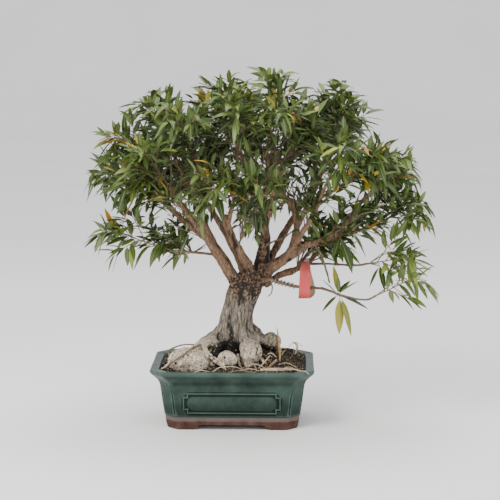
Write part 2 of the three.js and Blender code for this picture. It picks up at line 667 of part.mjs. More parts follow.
function growBranch(key, tip) {
  const origin = bestOrigin(tip);
  const outward = tip.clone().sub(CROWN_ROOT).normalize();
  const away = tip.clone().sub(origin.from).normalize();
  const heading = away.multiplyScalar(HEADING_AWAY)
    .addScaledVector(outward, HEADING_OUT)
    .addScaledVector(UP, HEADING_UP)
    .normalize();
  const base = tip.clone().addScaledVector(heading, -SPRAY_LENGTH);
  const reach = base.distanceTo(origin.from);
  const curve = new THREE.CubicBezierCurve3(
    origin.from,
    origin.from.clone().addScaledVector(origin.aim, reach * START_PULL),
    base.clone().addScaledVector(heading, -reach * END_PULL),
    base,
  );
  const stations = [];
  for (let i = 0; i <= BRANCH_STEPS; i++) {
    const point = curve.getPoint(i / BRANCH_STEPS);
    if (i > 0 && i < BRANCH_STEPS) {
      ['x', 'y', 'z'].forEach((axis, k) => {
        point[axis] += reach * between(-BRANCH_WIGGLE, BRANCH_WIGGLE, KEY.bend, key, i, k);
      });
    }
    stations.push([point.x, point.y, point.z, 0]);
  }
  origin.branch.load[origin.index] += 1;
  wood.push({ stations, load: stations.map(() => 0), grown: true });
  return stations;
}

// The end of a stem and the way it points there.
function stemEnd(stations) {
  const end = vector(stations.at(-1));
  return { base: end, heading: end.clone().sub(vector(stations.at(-2))).normalize() };
}

const wood = Object.entries(LIMBS).map(([name, stations]) => ({
  name,
  stations,
  load: stations.map(() => 0),
  bare: BARE_LIMBS.includes(name),
  trunkward: ['left', 'front', 'right'].includes(name),
}));
const sprays = wood.filter(({ bare }) => !bare).map(({ stations }) => {
  const { base, heading } = stemEnd(stations);
  const tip = base.clone().addScaledVector(heading, SPRAY_LENGTH).addScaledVector(UP, SPRAY_RISE);
  return { base, heading, tip };
});
crownTips(sprays.map(({ tip }) => tip))
  .sort((a, b) => a.distanceTo(CROWN_ROOT) - b.distanceTo(CROWN_ROOT))
  .forEach((tip, key) => sprays.push({ ...stemEnd(growBranch(key, tip)), tip }));

// A grown branch is as thick as what it carries: its own spray and the branches that leave it further
// out.
for (const branch of wood.filter(({ grown }) => grown)) {
  branch.stations.forEach((station, i) => {
    const carried = branch.load.reduce((sum, load, k) => sum + (k >= i ? load : 0), 1);
    const taper = 1 + BRANCH_TAPER * (1 - i / BRANCH_STEPS);
    station[3] = BRANCH_END_RADIUS * taper * carried ** LOAD_POWER;
  });
}

// Triangles of what is placed so far, sorted into cells of space, so that a new leaf can be tried against
// them.
const cells = new Map();
function cellsOf(triangle) {
  const range = [0, 1, 2].map((axis) => {
    const along = triangle.map((corner) => corner.getComponent(axis));
    return [Math.floor(Math.min(...along) / CELL_SIZE), Math.floor(Math.max(...along) / CELL_SIZE)];
  });
  const keys = [];
  for (let x = range[0][0]; x <= range[0][1]; x++) {
    for (let y = range[1][0]; y <= range[1][1]; y++) {
      for (let z = range[2][0]; z <= range[2][1]; z++) keys.push(`${x},${y},${z}`);
    }
  }
  return keys;
}

function trianglesOf(geometry) {
  const position = geometry.attributes.position;
  const index = geometry.index.array;
  const triangles = [];
  for (let i = 0; i < index.length; i += 3) {
    triangles.push([0, 1, 2].map((corner) => (
      new THREE.Vector3().fromBufferAttribute(position, index[i + corner])
    )));
  }
  return triangles;
}

function remember(geometry, owner) {
  for (const triangle of trianglesOf(geometry)) {
    for (const key of cellsOf(triangle)) {
      if (!cells.has(key)) cells.set(key, []);
      cells.get(key).push({ triangle, owner });
    }
  }
}

const edgeA = new THREE.Vector3();
const edgeB = new THREE.Vector3();
const ray = new THREE.Vector3();
const normalAcross = new THREE.Vector3();
const offset = new THREE.Vector3();
const sideways = new THREE.Vector3();

// Whether the straight line from start to end passes through the triangle.
function pierces(start, end, [a, b, c]) {
  edgeA.subVectors(b, a);
  edgeB.subVectors(c, a);
  ray.subVectors(end, start);
  normalAcross.crossVectors(ray, edgeB);
  const scale = edgeA.dot(normalAcross);
  if (Math.abs(scale) < 1e-9) return false;
  offset.subVectors(start, a);
  const u = offset.dot(normalAcross) / scale;
  if (u < 0 || u > 1) return false;
  sideways.crossVectors(offset, edgeA);
  const v = ray.dot(sideways) / scale;
  if (v < 0 || u + v > 1) return false;
  const along = edgeB.dot(sideways) / scale;
  return along >= 0 && along <= 1;
}

const meets = (one, other) => [0, 1, 2].some((i) => (
  pierces(one[i], one[(i + 1) % 3], other) || pierces(other[i], other[(i + 1) % 3], one)
));

// Whether a shape crosses anything placed that the filter lets count.
function crosses(geometry, counts) {
  return trianglesOf(geometry).some((triangle) => (
    cellsOf(triangle).some((key) => (cells.get(key) ?? []).some((placed) => (
      counts(placed.owner) && meets(triangle, placed.triangle)
    )))
  ));
}

// A willow-like blade, thin and arched: a point sunk in its twig, two edges where it is widest, and its
// tip. The line from the sunk point to the tip is the keel below, so the blade is thickest across its
// middle.
function bladeGeometry({ root, aim, length, width, droop }, grow = 0) {
  const across = new THREE.Vector3().crossVectors(aim, UP);
  if (across.length() < 0.2) across.set(1, 0, 0);
  across.normalize();
  const over = new THREE.Vector3().crossVectors(across, aim).normalize();
  const centreAt = (share) => root.clone()
    .addScaledVector(aim, length * share)
    .addScaledVector(UP, -droop * length * share * share);
  const widest = centreAt(LEAF_WIDEST).addScaledVector(over, LEAF_THICKNESS + grow);
  const corners = [
    root.clone().addScaledVector(aim, -LEAF_SUNK - grow).addScaledVector(over, -grow),
    widest.clone().addScaledVector(across, -width / 2 - grow),
    widest.clone().addScaledVector(across, width / 2 + grow),
    centreAt(1).addScaledVector(aim, grow).addScaledVector(over, -grow),
  ];
  return meshOf(corners.flatMap((p) => [p.x, p.y, p.z]), [0, 2, 1, 1, 2, 3, 0, 1, 3, 0, 3, 2]);
}

// A direction that leaves the stem's own by the angle opening, turned round it by roll.
function branchingFrom(stem, opening, roll) {
  const reference = Math.abs(stem.z) > 0.9 ? new THREE.Vector3(1, 0, 0) : UP;
  const sideA = new THREE.Vector3().crossVectors(stem, reference).normalize();
  const sideB = new THREE.Vector3().crossVectors(stem, sideA);
  return stem.clone().multiplyScalar(Math.cos(opening))
    .addScaledVector(sideA, Math.sin(opening) * Math.cos(roll))
    .addScaledVector(sideB, Math.sin(opening) * Math.sin(roll));
}

// A point along a stem, the way the stem runs there and its radius.
function alongStations(stations, share) {
  const place = Math.min(share, 0.9999) * (stations.length - 1);
  const step = Math.floor(place);
  const from = vector(stations[step]);
  const to = vector(stations[step + 1]);
  return {
    point: from.clone().lerp(to, place - step),
    aim: to.sub(from).normalize(),
    radius: THREE.MathUtils.lerp(stations[step][3], stations[step + 1][3], place - step),
  };
}

// The twigs of a spray: a main one from base to tip, and side twigs that leave it all round.
function sprayTwigs(spray, key) {
  const start = spray.base.clone().addScaledVector(spray.heading, CLEARANCE);
  const length = start.distanceTo(spray.tip);
  const middle = start.clone().addScaledVector(spray.heading, length / 2);
  const bend = new THREE.QuadraticBezierCurve3(start, middle, spray.tip);
  const main = [0, 0.5, 1].map((share) => {
    const point = bend.getPoint(share);
    return [point.x, point.y, point.z, THREE.MathUtils.lerp(TWIG_RADIUS, TWIG_TIP_RADIUS, share)];
  });
  const twigs = [main];
  SIDE_TWIG_STARTS.forEach((share, k) => {
    const { point, aim } = alongStations(main, share);
    const opening = between(...SIDE_TWIG_OPENING, KEY.twig, key, k, 1);
    const heading = branchingFrom(aim, opening, TURN * k + between(0, 2, KEY.twig, key, 2));
    const fullLength = THREE.MathUtils.lerp(...SIDE_TWIG_LENGTH, share);
    const reach = fullLength * between(...SIDE_TWIG_VARIES, KEY.twig, key, k, 3);
    const end = point.clone().addScaledVector(heading, reach).addScaledVector(UP, reach * SIDE_TWIG_RISE);
    twigs.push([
      [point.x, point.y, point.z, TWIG_RADIUS * SIDE_TWIG_START],
      [end.x, end.y, end.z, TWIG_TIP_RADIUS * SIDE_TWIG_END],
    ]);
  });
  return twigs;
}

// A leaf's place on its twig: slots wind up the outer part of the twig, opening less towards its tip.
function leafAt(stations, slot, extraRoll, ...keys) {
  const climb = slot / (LEAF_SLOTS - 1);
  const { point, aim } = alongStations(stations, THREE.MathUtils.lerp(...LEAF_PLACES, climb));
  const opening = THREE.MathUtils.lerp(...LEAF_OPENING, climb)
    + between(-LEAF_OPENING_VARIES, LEAF_OPENING_VARIES, ...keys, 1);
  const roll = TURN * slot + between(0, 2 * Math.PI, ...keys.slice(0, 3), 2) + extraRoll;
  const heading = branchingFrom(aim, opening, roll);
  const length = between(...LEAF_LENGTH, ...keys, 3) * (1 - LEAF_SHRINK * climb);
  return {
    root: point,
    aim: heading,
    length,
    width: length / LEAF_SLENDERNESS * between(...LEAF_WIDTH_VARIES, ...keys, 4),
    droop: between(...LEAF_DROOP, ...keys, 5),
  };
}

function makeSpray(spray, key) {
  const twigs = sprayTwigs(spray, key);
  const bodies = [];
  const grown = [];
  twigs.forEach((stations, twig) => {
    if (grown.length > SIDE_TWIGS) return;
    const fatStem = tube(stations, TWIG_SIDES, CLEARANCE * 2);
    if (twig > 0 && crosses(fatStem, (owner) => owner !== key)) return;
    const stem = tube(stations, TWIG_SIDES);
    remember(stem, key);
    bodies.push(solid(stem));
    grown.push([stations, twig]);
  });
  grown.forEach(([stations, twig]) => {
    for (const slot of twig ? SIDE_TWIG_LEAVES : MAIN_TWIG_LEAVES) {
      for (const extraRoll of LEAF_ROLLS) {
        const leaf = leafAt(stations, slot, extraRoll, KEY.leaf, key, twig, slot);
        const tried = bladeGeometry(leaf, CLEARANCE);
        if (crosses(tried, (owner) => owner !== key)) continue;
        const blade = bladeGeometry(leaf);
        remember(blade, `${key} leaf`);
        bodies.push(solid(blade));
        break;
      }
    }
  });
  return join(bodies);
}

function makeTree() {
  const parts = rootParts();
  for (const branch of wood) parts.push(solid(tube(branch.stations, LIMB_SIDES(branch.stations[0][3]))));
  return join(parts);
}

// The wire: a helix about the branch that keeps just off its corners.
function wireGeometry() {
  const stations = LIMBS.wrapped.slice(WIRE_FROM, WIRE_TO + 1);
  const steps = WIRE_TURNS * WIRE_STEPS;
  const path = [];
  for (let i = 0; i <= steps; i++) {
    const share = i / steps;
    const { point, aim, radius } = alongStations(stations, share);
    const sideA = new THREE.Vector3().crossVectors(UP, aim).normalize();
    const sideB = new THREE.Vector3().crossVectors(aim, sideA);
    const angle = 2 * Math.PI * WIRE_TURNS * share;
    const reach = (radius + CLEARANCE + WIRE_RADIUS) / Math.cos(Math.PI / WIRE_STEPS);
    point.addScaledVector(sideA, reach * Math.cos(angle)).addScaledVector(sideB, reach * Math.sin(angle));
    path.push([point.x, point.y, point.z, WIRE_RADIUS]);
  }
  return tube(path, TWIG_SIDES);
}

// The label: a band along its closed line, narrow where it passes over the limb.
function labelGeometry() {
  const count = LABEL_LOOP.length;
  const points = [];
  const faces = [];
  LABEL_LOOP.forEach(([y, z], i) => {
    const [beforeY, beforeZ] = LABEL_LOOP[(i + count - 1) % count];
    const [afterY, afterZ] = LABEL_LOOP[(i + 1) % count];
    const run = new THREE.Vector2(afterY - beforeY, afterZ - beforeZ).normalize();
    const half = THREE.MathUtils.lerp(...LABEL_HALF_WIDTHS, THREE.MathUtils.smoothstep(z, ...LABEL_SHOULDER));
    const x = THREE.MathUtils.mapLinear(z, ...LABEL_HEIGHTS, ...LABEL_X);
    for (const [side, inward] of [[-1, 0], [1, 0], [1, LABEL_THICKNESS], [-1, LABEL_THICKNESS]]) {
      points.push(x + side * half, y - run.y * inward, z + run.x * inward);
    }
    for (let corner = 0; corner < 4; corner++) {
      const next = (corner + 1) % 4;
      const here = i * 4;
      const ahead = ((i + 1) % count) * 4;
      faces.push(here + corner, ahead + next, here + next, here + corner, ahead + corner, ahead + next);
    }
  });
  return meshOf(points, faces);
}

const model = new THREE.Group();
function place(name, body, look) {
  const mesh = new THREE.Mesh(geometryOf(body).translate(-MIDDLE_X, -MIDDLE_Y, 0), look);
  mesh.name = name;
  model.add(mesh);
}

place('pot', makePot(), GLAZE);
place('drain_screen_left', makeScreen(-DRAIN_X), SCREEN);
place('drain_screen_right', makeScreen(DRAIN_X), SCREEN);
place('soil', makeSoil(), SOIL);
place('tree', makeTree(), BARK);

place('wrap_wire', solid(wireGeometry()), WIRE);
place('label_loop', solid(labelGeometry()), LABEL);
place('pale_stick', solid(tube(PALE_STICK, LITTER_SIDES)), DRY_WOOD);
place('bark_chip', solid(tube(BARK_CHIP, LITTER_SIDES)), DRY_WOOD);
place('dry_leaf', solid(dryLeafGeometry()), DRY_LEAF);

for (const branch of wood) remember(tube(branch.stations, LIMB_SIDES(branch.stations[0][3])), 'wood');
remember(wireGeometry(), 'wire');
remember(labelGeometry(), 'label');
sprays.forEach((spray, key) => {
  place(`spray_${String(key + 1).padStart(2, '0')}`, makeSpray(spray, key), LEAF);
});


export default model;
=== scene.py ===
"""Willow leaf ficus bonsai in a glazed pot: the finished pieces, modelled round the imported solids."""

import math

import bpy
import numpy as np
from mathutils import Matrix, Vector, noise


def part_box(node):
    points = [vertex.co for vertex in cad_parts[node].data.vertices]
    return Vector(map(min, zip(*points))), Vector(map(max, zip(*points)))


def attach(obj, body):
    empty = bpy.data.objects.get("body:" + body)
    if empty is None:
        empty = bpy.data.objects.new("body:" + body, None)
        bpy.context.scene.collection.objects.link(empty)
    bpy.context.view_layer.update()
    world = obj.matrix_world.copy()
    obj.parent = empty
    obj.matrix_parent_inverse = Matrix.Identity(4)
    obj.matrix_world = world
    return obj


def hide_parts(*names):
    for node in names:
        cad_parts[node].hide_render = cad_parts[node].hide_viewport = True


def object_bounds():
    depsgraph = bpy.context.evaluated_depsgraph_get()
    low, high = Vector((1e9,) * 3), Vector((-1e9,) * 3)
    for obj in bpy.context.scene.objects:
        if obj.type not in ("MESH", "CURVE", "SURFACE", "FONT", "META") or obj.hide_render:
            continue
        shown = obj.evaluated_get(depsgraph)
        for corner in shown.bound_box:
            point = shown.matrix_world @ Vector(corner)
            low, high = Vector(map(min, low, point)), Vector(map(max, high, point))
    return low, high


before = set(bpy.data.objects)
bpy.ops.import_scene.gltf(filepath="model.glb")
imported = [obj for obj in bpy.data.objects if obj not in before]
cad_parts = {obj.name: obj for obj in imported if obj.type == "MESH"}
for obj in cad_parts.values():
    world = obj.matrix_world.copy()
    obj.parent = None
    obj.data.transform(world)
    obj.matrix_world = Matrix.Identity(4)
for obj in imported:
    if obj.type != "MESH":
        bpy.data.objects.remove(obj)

CAD_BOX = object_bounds()

bl_info = {
    "name": "Willow leaf ficus bonsai",
    "version": (1, 0, 0),
    "blender": (4, 5, 0),
    "location": "3D View > Sidebar > Bonsai",
    "description": "A willow leaf ficus bonsai with its glazed pot, soil and label",
    "category": "Object",
}

MM = 0.001
# The screen's curve: offset, exponent, darkest value on the curve and what divides those below it.
SCREEN_CURVE = (0.055, 2.4, 10, 3300)
SCREEN_WHITE = 255


def rgb(red, green, blue):
    """A colour given as it looks on a screen, made linear."""
    offset, exponent, darkest, divisor = SCREEN_CURVE
    return tuple(
        ((value / SCREEN_WHITE + offset) / (1 + offset)) ** exponent if value > darkest else value / divisor
        for value in (red, green, blue)) + (1.0,)


POT_LOW, POT_HIGH = (np.array(corner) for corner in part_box("pot"))
# All that follows is laid out in millimetres about the middle of the pot, on the table.
POT_MIDDLE = np.array([(POT_LOW[0] + POT_HIGH[0]) / 2, (POT_LOW[1] + POT_HIGH[1]) / 2, 0])
POT_HALF = ((POT_HIGH - POT_LOW) / 2 / MM)[:2]
BOX_LOW, BOX_HIGH = (np.array(corner) for corner in CAD_BOX)
SPRAY_NODES = sorted(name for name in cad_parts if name.startswith("spray_"))

# Pot: each level of the profile is its height and how far it stands in from the rim.
CORNER_CUT = 19
CORNER_CUT_SLOPE = 0.1
LEAST_LEVEL = 0.1
FOOT_HEIGHT = 8
FLOOR_TOP = 15
POT_PROFILE = [
    (8, 23.4), (12.4, 23), (13.6, 22.6), (19.8, 22.3), (20.8, 21.8), (21.8, 21), (34, 19.4), (52, 17),
    (62, 15.7), (68, 14.8), (71.5, 13.9), (74.5, 12.7), (77.4, 10.9), (80, 8.7), (83, 5.8), (85.5, 3.3),
    (87.4, 1.5), (89, 0.5), (91, 0.1), (92.5, 0), (93.5, 0.5), (94, 1.4),
]
POT_LIP = [(93.6, 5), (93.2, 9.5), (92.8, 12.2), (91.6, 13.3)]
POT_INSIDE = [(84, 15), (72, 20), (23, 26.4), (15, 28)]
POT_SLICE = 3
POT_TALL = 66
# The unevenness of pressed clay: where it comes in over the feet, how much and how broad.
PUSH_FROM = (9, 14)
POT_UNEVEN = 0.3
POT_UNEVEN_SIZE = 26
POT_EDGE_STEPS = 3
GROOVE_HEIGHTS = (22, 27, 62, 70)
GROOVE_REACH = 1.1
GROOVE_DEPTH = 1.3
# The openings between the feet are cut by boxes that widen downwards.
FOOT_OUTLINE = [(0, 25.5), (4.4, 24.4), (10.5, 23.7)]
FOOT_THICKNESS = 11
FOOT_GAP_X = 24
FOOT_GAP_Y = 14
FOOT_SPREAD = 46
FOOT_ROUND = 1
FOOT_ROUND_STEPS = 2
FOOT_BOX_TOP = 24
PANEL_HALF_WIDTH = 73.2
PANEL_BOTTOM = 27.6
PANEL_TOP = 58.4
PANEL_NOTCH = 6
PANEL_RIB_RADIUS = 2
PANEL_RIB_STEPS = 3
PANEL_SUNK = 0.6
DRAIN_RADIUS = 11
DRAIN_SIDES = 40
DRAIN_X = 52
# The inside is bare clay, from this far within the wall and below this height.
BARE_WALL = 4
BARE_BELOW = 91
# How sharply the surface must bend for worn glaze with painted highlights on edges, and for pooled glaze with
# painted shade in corners.
WEAR_AND_LIGHT_REACH = 0.25

# Soil
SOIL_LEVEL = 89
SOIL_MOUNDS = [(0, 8, 13, 55), (84, 22, 17, 30), (-60, 20, 8, 42), (60, -30, 5, 30), (47, 4, 15, 22)]
SOIL_INSET = 13.55
SOIL_WALLS = [(84, 15.35), (72, 20.35), (23, 26.75), (15.35, 28.7)]
SOIL_COLUMNS = 130
SOIL_ROWS = 90
SOIL_UNEVEN = 1.6
SOIL_UNEVEN_SIZE = 9
SOIL_UNEVEN_LAYER = 7
# How rough a fractal noise is: its falloff, how much finer each octave is, and how many there are.
SOIL_FRACTAL = (0.8, 2.2, 4)
ROUGH_FRACTAL = (0.8, 2.2, 3)
SOIL_TONE = 0.4
SOIL_TONE_SIZE = 6
GRAIN_MARGIN = 2
# Crumbs: sizes of fine and coarse ones, how far their corners stray, how flat they are, how far they stand
# out and how dark they are.
FINE_GRAIN = (0.8, 1.9)
COARSE_GRAIN = (1.7, 3.6)
GRAIN_CORNERS = (0.72, 1.2)
GRAIN_DEPTH = (0.6, 1)
GRAIN_HEIGHT = (0.5, 0.9)
GRAIN_LIFT = 0.25
GRAIN_TONES = (0.05, 0.95)
CHUNKY_MIDDLE = (-98, -30)
CHUNKY_REACH = (18, 46)
MOSS_MIDDLE = (84, 22)
MOSS_REACH = 30
MOSS_PATCH = 22
MOSS_PATCH_LAYER = 3
MOSS_PATCHY = 0.55
MOSS_TUFTS = 1500
MOSS_BLADES = 5
MOSS_BLADE_SIDES = 3
MOSS_LENGTH = (1.6, 4.2)
MOSS_LEAN = 0.7
MOSS_SPREAD = 2
# A blade of moss: place along it and radius.
MOSS_BLADE = ((0, 0.55), (0.6, 0.45), (1, 0.08))
CLEARANCE = 0.35

# Trunk: centre x, y, height, half width, half depth.
TRUNK = [
    (0, 12, 80, 26, 22), (-3, 10, 106, 30, 24), (-4, 6, 128, 33, 27), (2, 1, 147, 27, 25),
    (5, 0, 166, 25, 23), (9, 0, 181, 25, 22), (14, 0, 197, 26, 22), (20, 0, 214, 27, 22),
    (27, 1, 229, 24, 20), (31, 2, 240, 15, 13),
]
# Roots, limbs and twigs: x, y, height and radius at each station.
ROOTS = [
    [(-4, 0, 148, 18), (-20, -2, 134, 15), (-36, -6, 125, 13), (-54, -10, 113, 11), (-76, -14, 98, 8.5),
     (-90, -16, 82, 6)],
    [(-18, -6, 128, 11), (-26, -18, 112, 9), (-30, -28, 98, 7), (-34, -36, 80, 5)],
    [(14, -8, 140, 14), (23, -22, 122, 14), (27, -33, 104, 12), (27, -40, 80, 8)],
    [(22, 0, 142, 15), (42, 0, 127, 12), (60, 6, 112, 9), (74, 12, 98, 7), (80, 14, 82, 4)],
    [(0, 10, 142, 16), (-16, 32, 118, 12), (-36, 50, 101, 8), (-48, 56, 84, 5)],
    [(16, 10, 142, 15), (30, 34, 118, 11), (34, 52, 100, 7), (46, 62, 82, 4)],
    [(-46, -16, 125, 4), (-39, -32, 113, 3.6), (-27, -45, 105, 3.5), (-14, -56, 97, 3.2), (-6, -61, 84, 2.6)],
]
# Swollen root bodies: centre, half sizes, lean in degrees.
SWELLINGS = [
    ((-67, -37, 99), (32, 25, 23), -6),
    ((-7, -45, 107), (15.5, 12, 11.5), -22),
    ((28, -27, 115), (17, 15, 20), 8),
    ((57, -4, 126), (17, 13, 14), 0),
]
LIMBS = {
    "left": [(14, -3, 206, 12), (5, -8, 219, 10.5), (-11, -10, 246, 9.5), (-28, -12, 273, 8.4),
             (-40, -14, 291, 7)],
    "left_low": [(-38, -14, 288, 6.4), (-60, -12, 303, 5), (-84, -6, 322, 4), (-112, 0, 345, 3.2),
                 (-145, 6, 362, 2.4)],
    "left_high": [(-26, -12, 270, 6.6), (-42, -16, 308, 5.4), (-58, -14, 345, 4.2), (-80, -8, 392, 3.2),
                  (-98, -4, 432, 2.4)],
    "left_mid": [(-38, -14, 290, 5.6), (-62, -22, 322, 4.4), (-92, -26, 358, 3.4), (-126, -24, 396, 2.5)],
    "front": [(33, -14, 218, 8), (23, -24, 250, 7.4), (8, -28, 273, 6.8), (-1, -30, 293, 6.2),
              (-8, -31, 311, 5.6), (-12, -31, 326, 4.6)],
    "front_left": [(-9, -31, 314, 4.2), (-24, -44, 346, 3.6), (-42, -62, 386, 2.9), (-56, -80, 424, 2.2)],
    "front_right": [(-7, -30, 312, 4), (2, -48, 350, 3.4), (8, -72, 396, 2.7), (10, -92, 440, 2.1)],
    "centre": [(36, 4, 212, 13), (39, 5, 232, 12), (46, 5, 262, 10.8), (49, 4, 288, 8.2), (49, 4, 306, 5.8),
               (48, 4, 320, 5.4), (45, 6, 347, 5), (35, 9, 356, 4.4), (22, 11, 388, 3.8), (13, 13, 410, 3.2),
               (4, 14, 450, 2.4)],
    "centre_stub": [(44, 4, 276, 5), (36, -4, 291, 4.2)],
    "centre_top": [(46, 5, 340, 4.4), (54, 0, 378, 3.6), (52, -6, 418, 2.9), (58, -8, 462, 2.2)],
    "centre_front": [(49, 2, 300, 4.4), (58, -28, 340, 3.8), (66, -62, 388, 3), (66, -88, 432, 2.2)],
    "centre_back": [(47, 6, 308, 4.6), (36, 42, 352, 3.8), (26, 80, 400, 3), (20, 104, 442, 2.2)],
    "right": [(42, 0, 222, 12), (54, -2, 239, 10.4), (75, -6, 253, 9), (97, -10, 268, 8), (108, -12, 279, 7)],
    "right_out": [(105, -12, 277, 6), (132, -14, 284, 5), (156, -16, 295, 4.2), (178, -18, 322, 3.4),
                  (204, -20, 356, 2.5)],
    "right_low": [(104, -10, 276, 5.4), (134, 8, 279, 4.4), (170, 18, 288, 3.6), (200, 22, 298, 2.6),
                  (224, 24, 308, 2)],
    "right_up": [(88, -8, 262, 6.4), (95, -6, 288, 5.8), (98, -2, 306, 5.2), (95, 2, 324, 4.6),
                 (86, 6, 341, 4.2), (76, 9, 355, 3.8), (72, 12, 374, 3.3), (82, 18, 420, 2.4)],
    "right_high": [(97, -3, 304, 4.4), (118, -8, 348, 3.6), (138, -10, 396, 2.9), (152, -8, 438, 2.2)],
    "right_front": [(78, -8, 256, 5.4), (98, -38, 288, 4.4), (122, -70, 332, 3.4), (140, -94, 380, 2.4)],
    "right_back": [(42, 12, 228, 8), (64, 42, 264, 6), (90, 76, 306, 4.6), (122, 100, 352, 3.4),
                   (146, 112, 398, 2.4)],
    "left_back": [(22, 12, 222, 8.4), (2, 40, 262, 6.4), (-26, 72, 304, 4.8), (-58, 96, 352, 3.4),
                  (-80, 108, 402, 2.4)],
    "left_front": [(-6, -12, 240, 6), (-30, -42, 280, 4.6), (-62, -72, 328, 3.4), (-92, -90, 376, 2.4)],
    "behind": [(48, 10, 212, 6.4), (70, 18, 226, 5.4), (95, 24, 234, 4.8), (117, 28, 246, 4.3),
               (134, 32, 264, 3.8), (150, 36, 276, 3.4), (186, 44, 298, 2.8), (216, 50, 330, 2.2)],
    "wrapped": [(44, -10, 222, 4.2), (57, -17, 225, 3.1), (69, -17, 221, 2.8), (81, -16, 218, 2.6),
                (96, -14, 214, 2.5), (121, -14, 212, 2.3), (137, -20, 212, 2.1), (150, -28, 209, 1.9),
                (172, -35, 202, 1.8), (203, -39, 198, 1.7), (218, -41, 205, 1.6)],
    "level_twig": [(114, 27, 243, 2.2), (150, 6, 246, 1.7), (186, -14, 247, 1.6), (208, -20, 251, 1.5)],
    "hanging_twig": [(122, -13, 283, 2), (134, -18, 266, 1.7), (143, -24, 240, 1.5), (148, -28, 222, 1.2)],
    "low_left_twig": [(-22, -13, 262, 2.4), (-59, -18, 267, 1.8), (-94, -20, 270, 1.7),
                      (-122, -20, 279, 1.6)],
    "dead_twig": [(50, -2, 276, 2), (64, -10, 284, 1.4), (78, -14, 289, 1.2), (93, -18, 302, 0.9)],
    "hanging_root": [(50, -8, 222, 1.8), (60, -16, 216, 1.2), (59, -18, 204, 1), (54, -18, 199, 0.8)],
}
# Limbs that end bare, and those of them that branches may still grow from.
BARE_LIMBS = ("left", "front", "right", "centre_stub", "hanging_twig", "dead_twig", "hanging_root")
TRUNKWARD_LIMBS = ("left", "front", "right")

# Crown: the outline seen from the front, about its middle, how deep it is and where it is open below.
CROWN_MIDDLE = (25, 370)
CROWN_HALF_DEPTH = 190
CROWN_OUTLINE = [
    (312, 285), (294, 342), (284, 382), (270, 415), (278, 450), (244, 477), (205, 503), (150, 523),
    (91, 533), (45, 546), (-15, 538), (-75, 524), (-125, 506), (-160, 487), (-205, 463), (-222, 435),
    (-239, 386), (-237, 350), (-226, 318), (-190, 296), (-140, 278), (-100, 268), (-60, 290), (0, 330),
    (60, 335), (110, 310), (160, 275), (215, 255), (270, 255),
]
CROWN_SKIRT = (285, 375)
CROWN_SKIRT_SIDE = (0.15, 0.6)
CROWN_SHRINK = (0.9, 1)
BARE_HALF_WIDTH = 90
BARE_HEIGHT = 350
CROWN_SPRAYS = 19
TRIES_PER_SPRAY = 24
LEAF_REACH = 27
CROWN_ROOT = np.array([30.0, 0, 250])

# Grown branches: what makes an origin unlikely, how they head for their tip, and how they thicken.
THICKEST_ORIGIN = 9
TURN_COST = 0.45
SHORT_COST = 1.5
DROP_COST = 0.6
HEADING_AWAY = 0.6
HEADING_OUT = 0.4
HEADING_UP = 0.12
START_PULL = 0.3
END_PULL = 0.35
BRANCH_WIGGLE = 0.04
BRANCH_TAPER = 0.25
LOAD_POWER = 0.42
SHORTEST_BRANCH = 26
BRANCH_STEPS = 3
BRANCH_END_RADIUS = 1.45

# Twigs and leaves of a spray.
SPRAY_LENGTH = 62
SPRAY_RISE = 4
SIDE_TWIG_STARTS = (0.3, 0.55, 0.42, 0.7, 0.2, 0.85)
SIDE_TWIG_LENGTH = (50, 31)
SIDE_TWIG_VARIES = (0.75, 1.1)
SIDE_TWIG_OPENING = (0.65, 0.95)
SIDE_TWIG_RISE = 0.12
LEAF_SLOTS = 8
LEAF_LENGTH = (33, 49)
LEAF_SLENDERNESS = 5.2
LEAF_WIDTH_VARIES = (0.88, 1.12)
LEAF_DROOP = (0.02, 0.3)
LEAF_PLACES = (0.34, 0.98)
LEAF_OPENING = (1.15, 0.55)
LEAF_OPENING_VARIES = 0.12
LEAF_SHRINK = 0.12
# The golden angle, by which leaves and twigs wind round their stem.
TURN = 2.39996
MAIN_TWIG_STEPS = 5
TWIG_SIDES = 5
TWIG_STEPS = 2
TWIG_RADIUS = 1.1
TWIG_TIP_RADIUS = 0.5
SIDE_TWIG_RADIUS = 0.8
TWIG_BOW = 0.05
LEAVES_PER_SLOT = 2
# A leaf: place along it, half width and half thickness, as shares.
LEAF_SECTIONS = [
    (-0.02, 0.1, 1.4), (0.1, 0.1, 1.4), (0.15, 0.44, 0.9), (0.28, 1.04, 0.8), (0.46, 1.22, 0.7),
    (0.66, 1.04, 0.6), (0.84, 0.58, 0.5), (0.99, 0.05, 0.4),
]
LEAF_HALF_THICKNESS = 0.22
LEAF_STALK = 0.13
LEAF_TWIST = 35
LEAF_UPRIGHT = 0.2
LEAF_CURL = 0.1
LEAF_FOLD_VARIES = (0.3, 1.6)
LEAF_STRAYS = 0.4
TWIN_OPENING = (0.5, 1.1)
TWIN_LENGTH = (0.6, 0.95)
# How often a leaf has a second one beside it: usually, more to the right, and less over the open front.
TWIN_SHARE = 0.62
TWIN_RIGHT = (0.38, 70, 150)
TWIN_OPEN = 0.7
OPEN_FRONT = (32, 335, 100, 75)
OPEN_FRONT_THINS = 0.4
OPEN_FRONT_SHORTENS = 0.22
# Low right tip of the crown, thin with leaves: where it starts and is full across, and where it ends and is
# full in height.
LOW_RIGHT = (140, 185, 300, 255)
LOW_RIGHT_THINS = 0.42
TWIN_LOW = 0.75
# How a leaf gives way where it would stand out of the crown: its length and added droop, and how far it may.
LEAF_YIELDS = ((1, 0), (0.92, 0.25), (0.82, 0.5), (0.7, 0.7), (0.58, 0.9))
LEAF_STANDS_OUT = 9
LEAF_LIMIT_FROM = 300
CROWN_CENTRE = np.array([25.0, 0, 385])
CROWN_HALF = np.array([270.0, 190, 165])
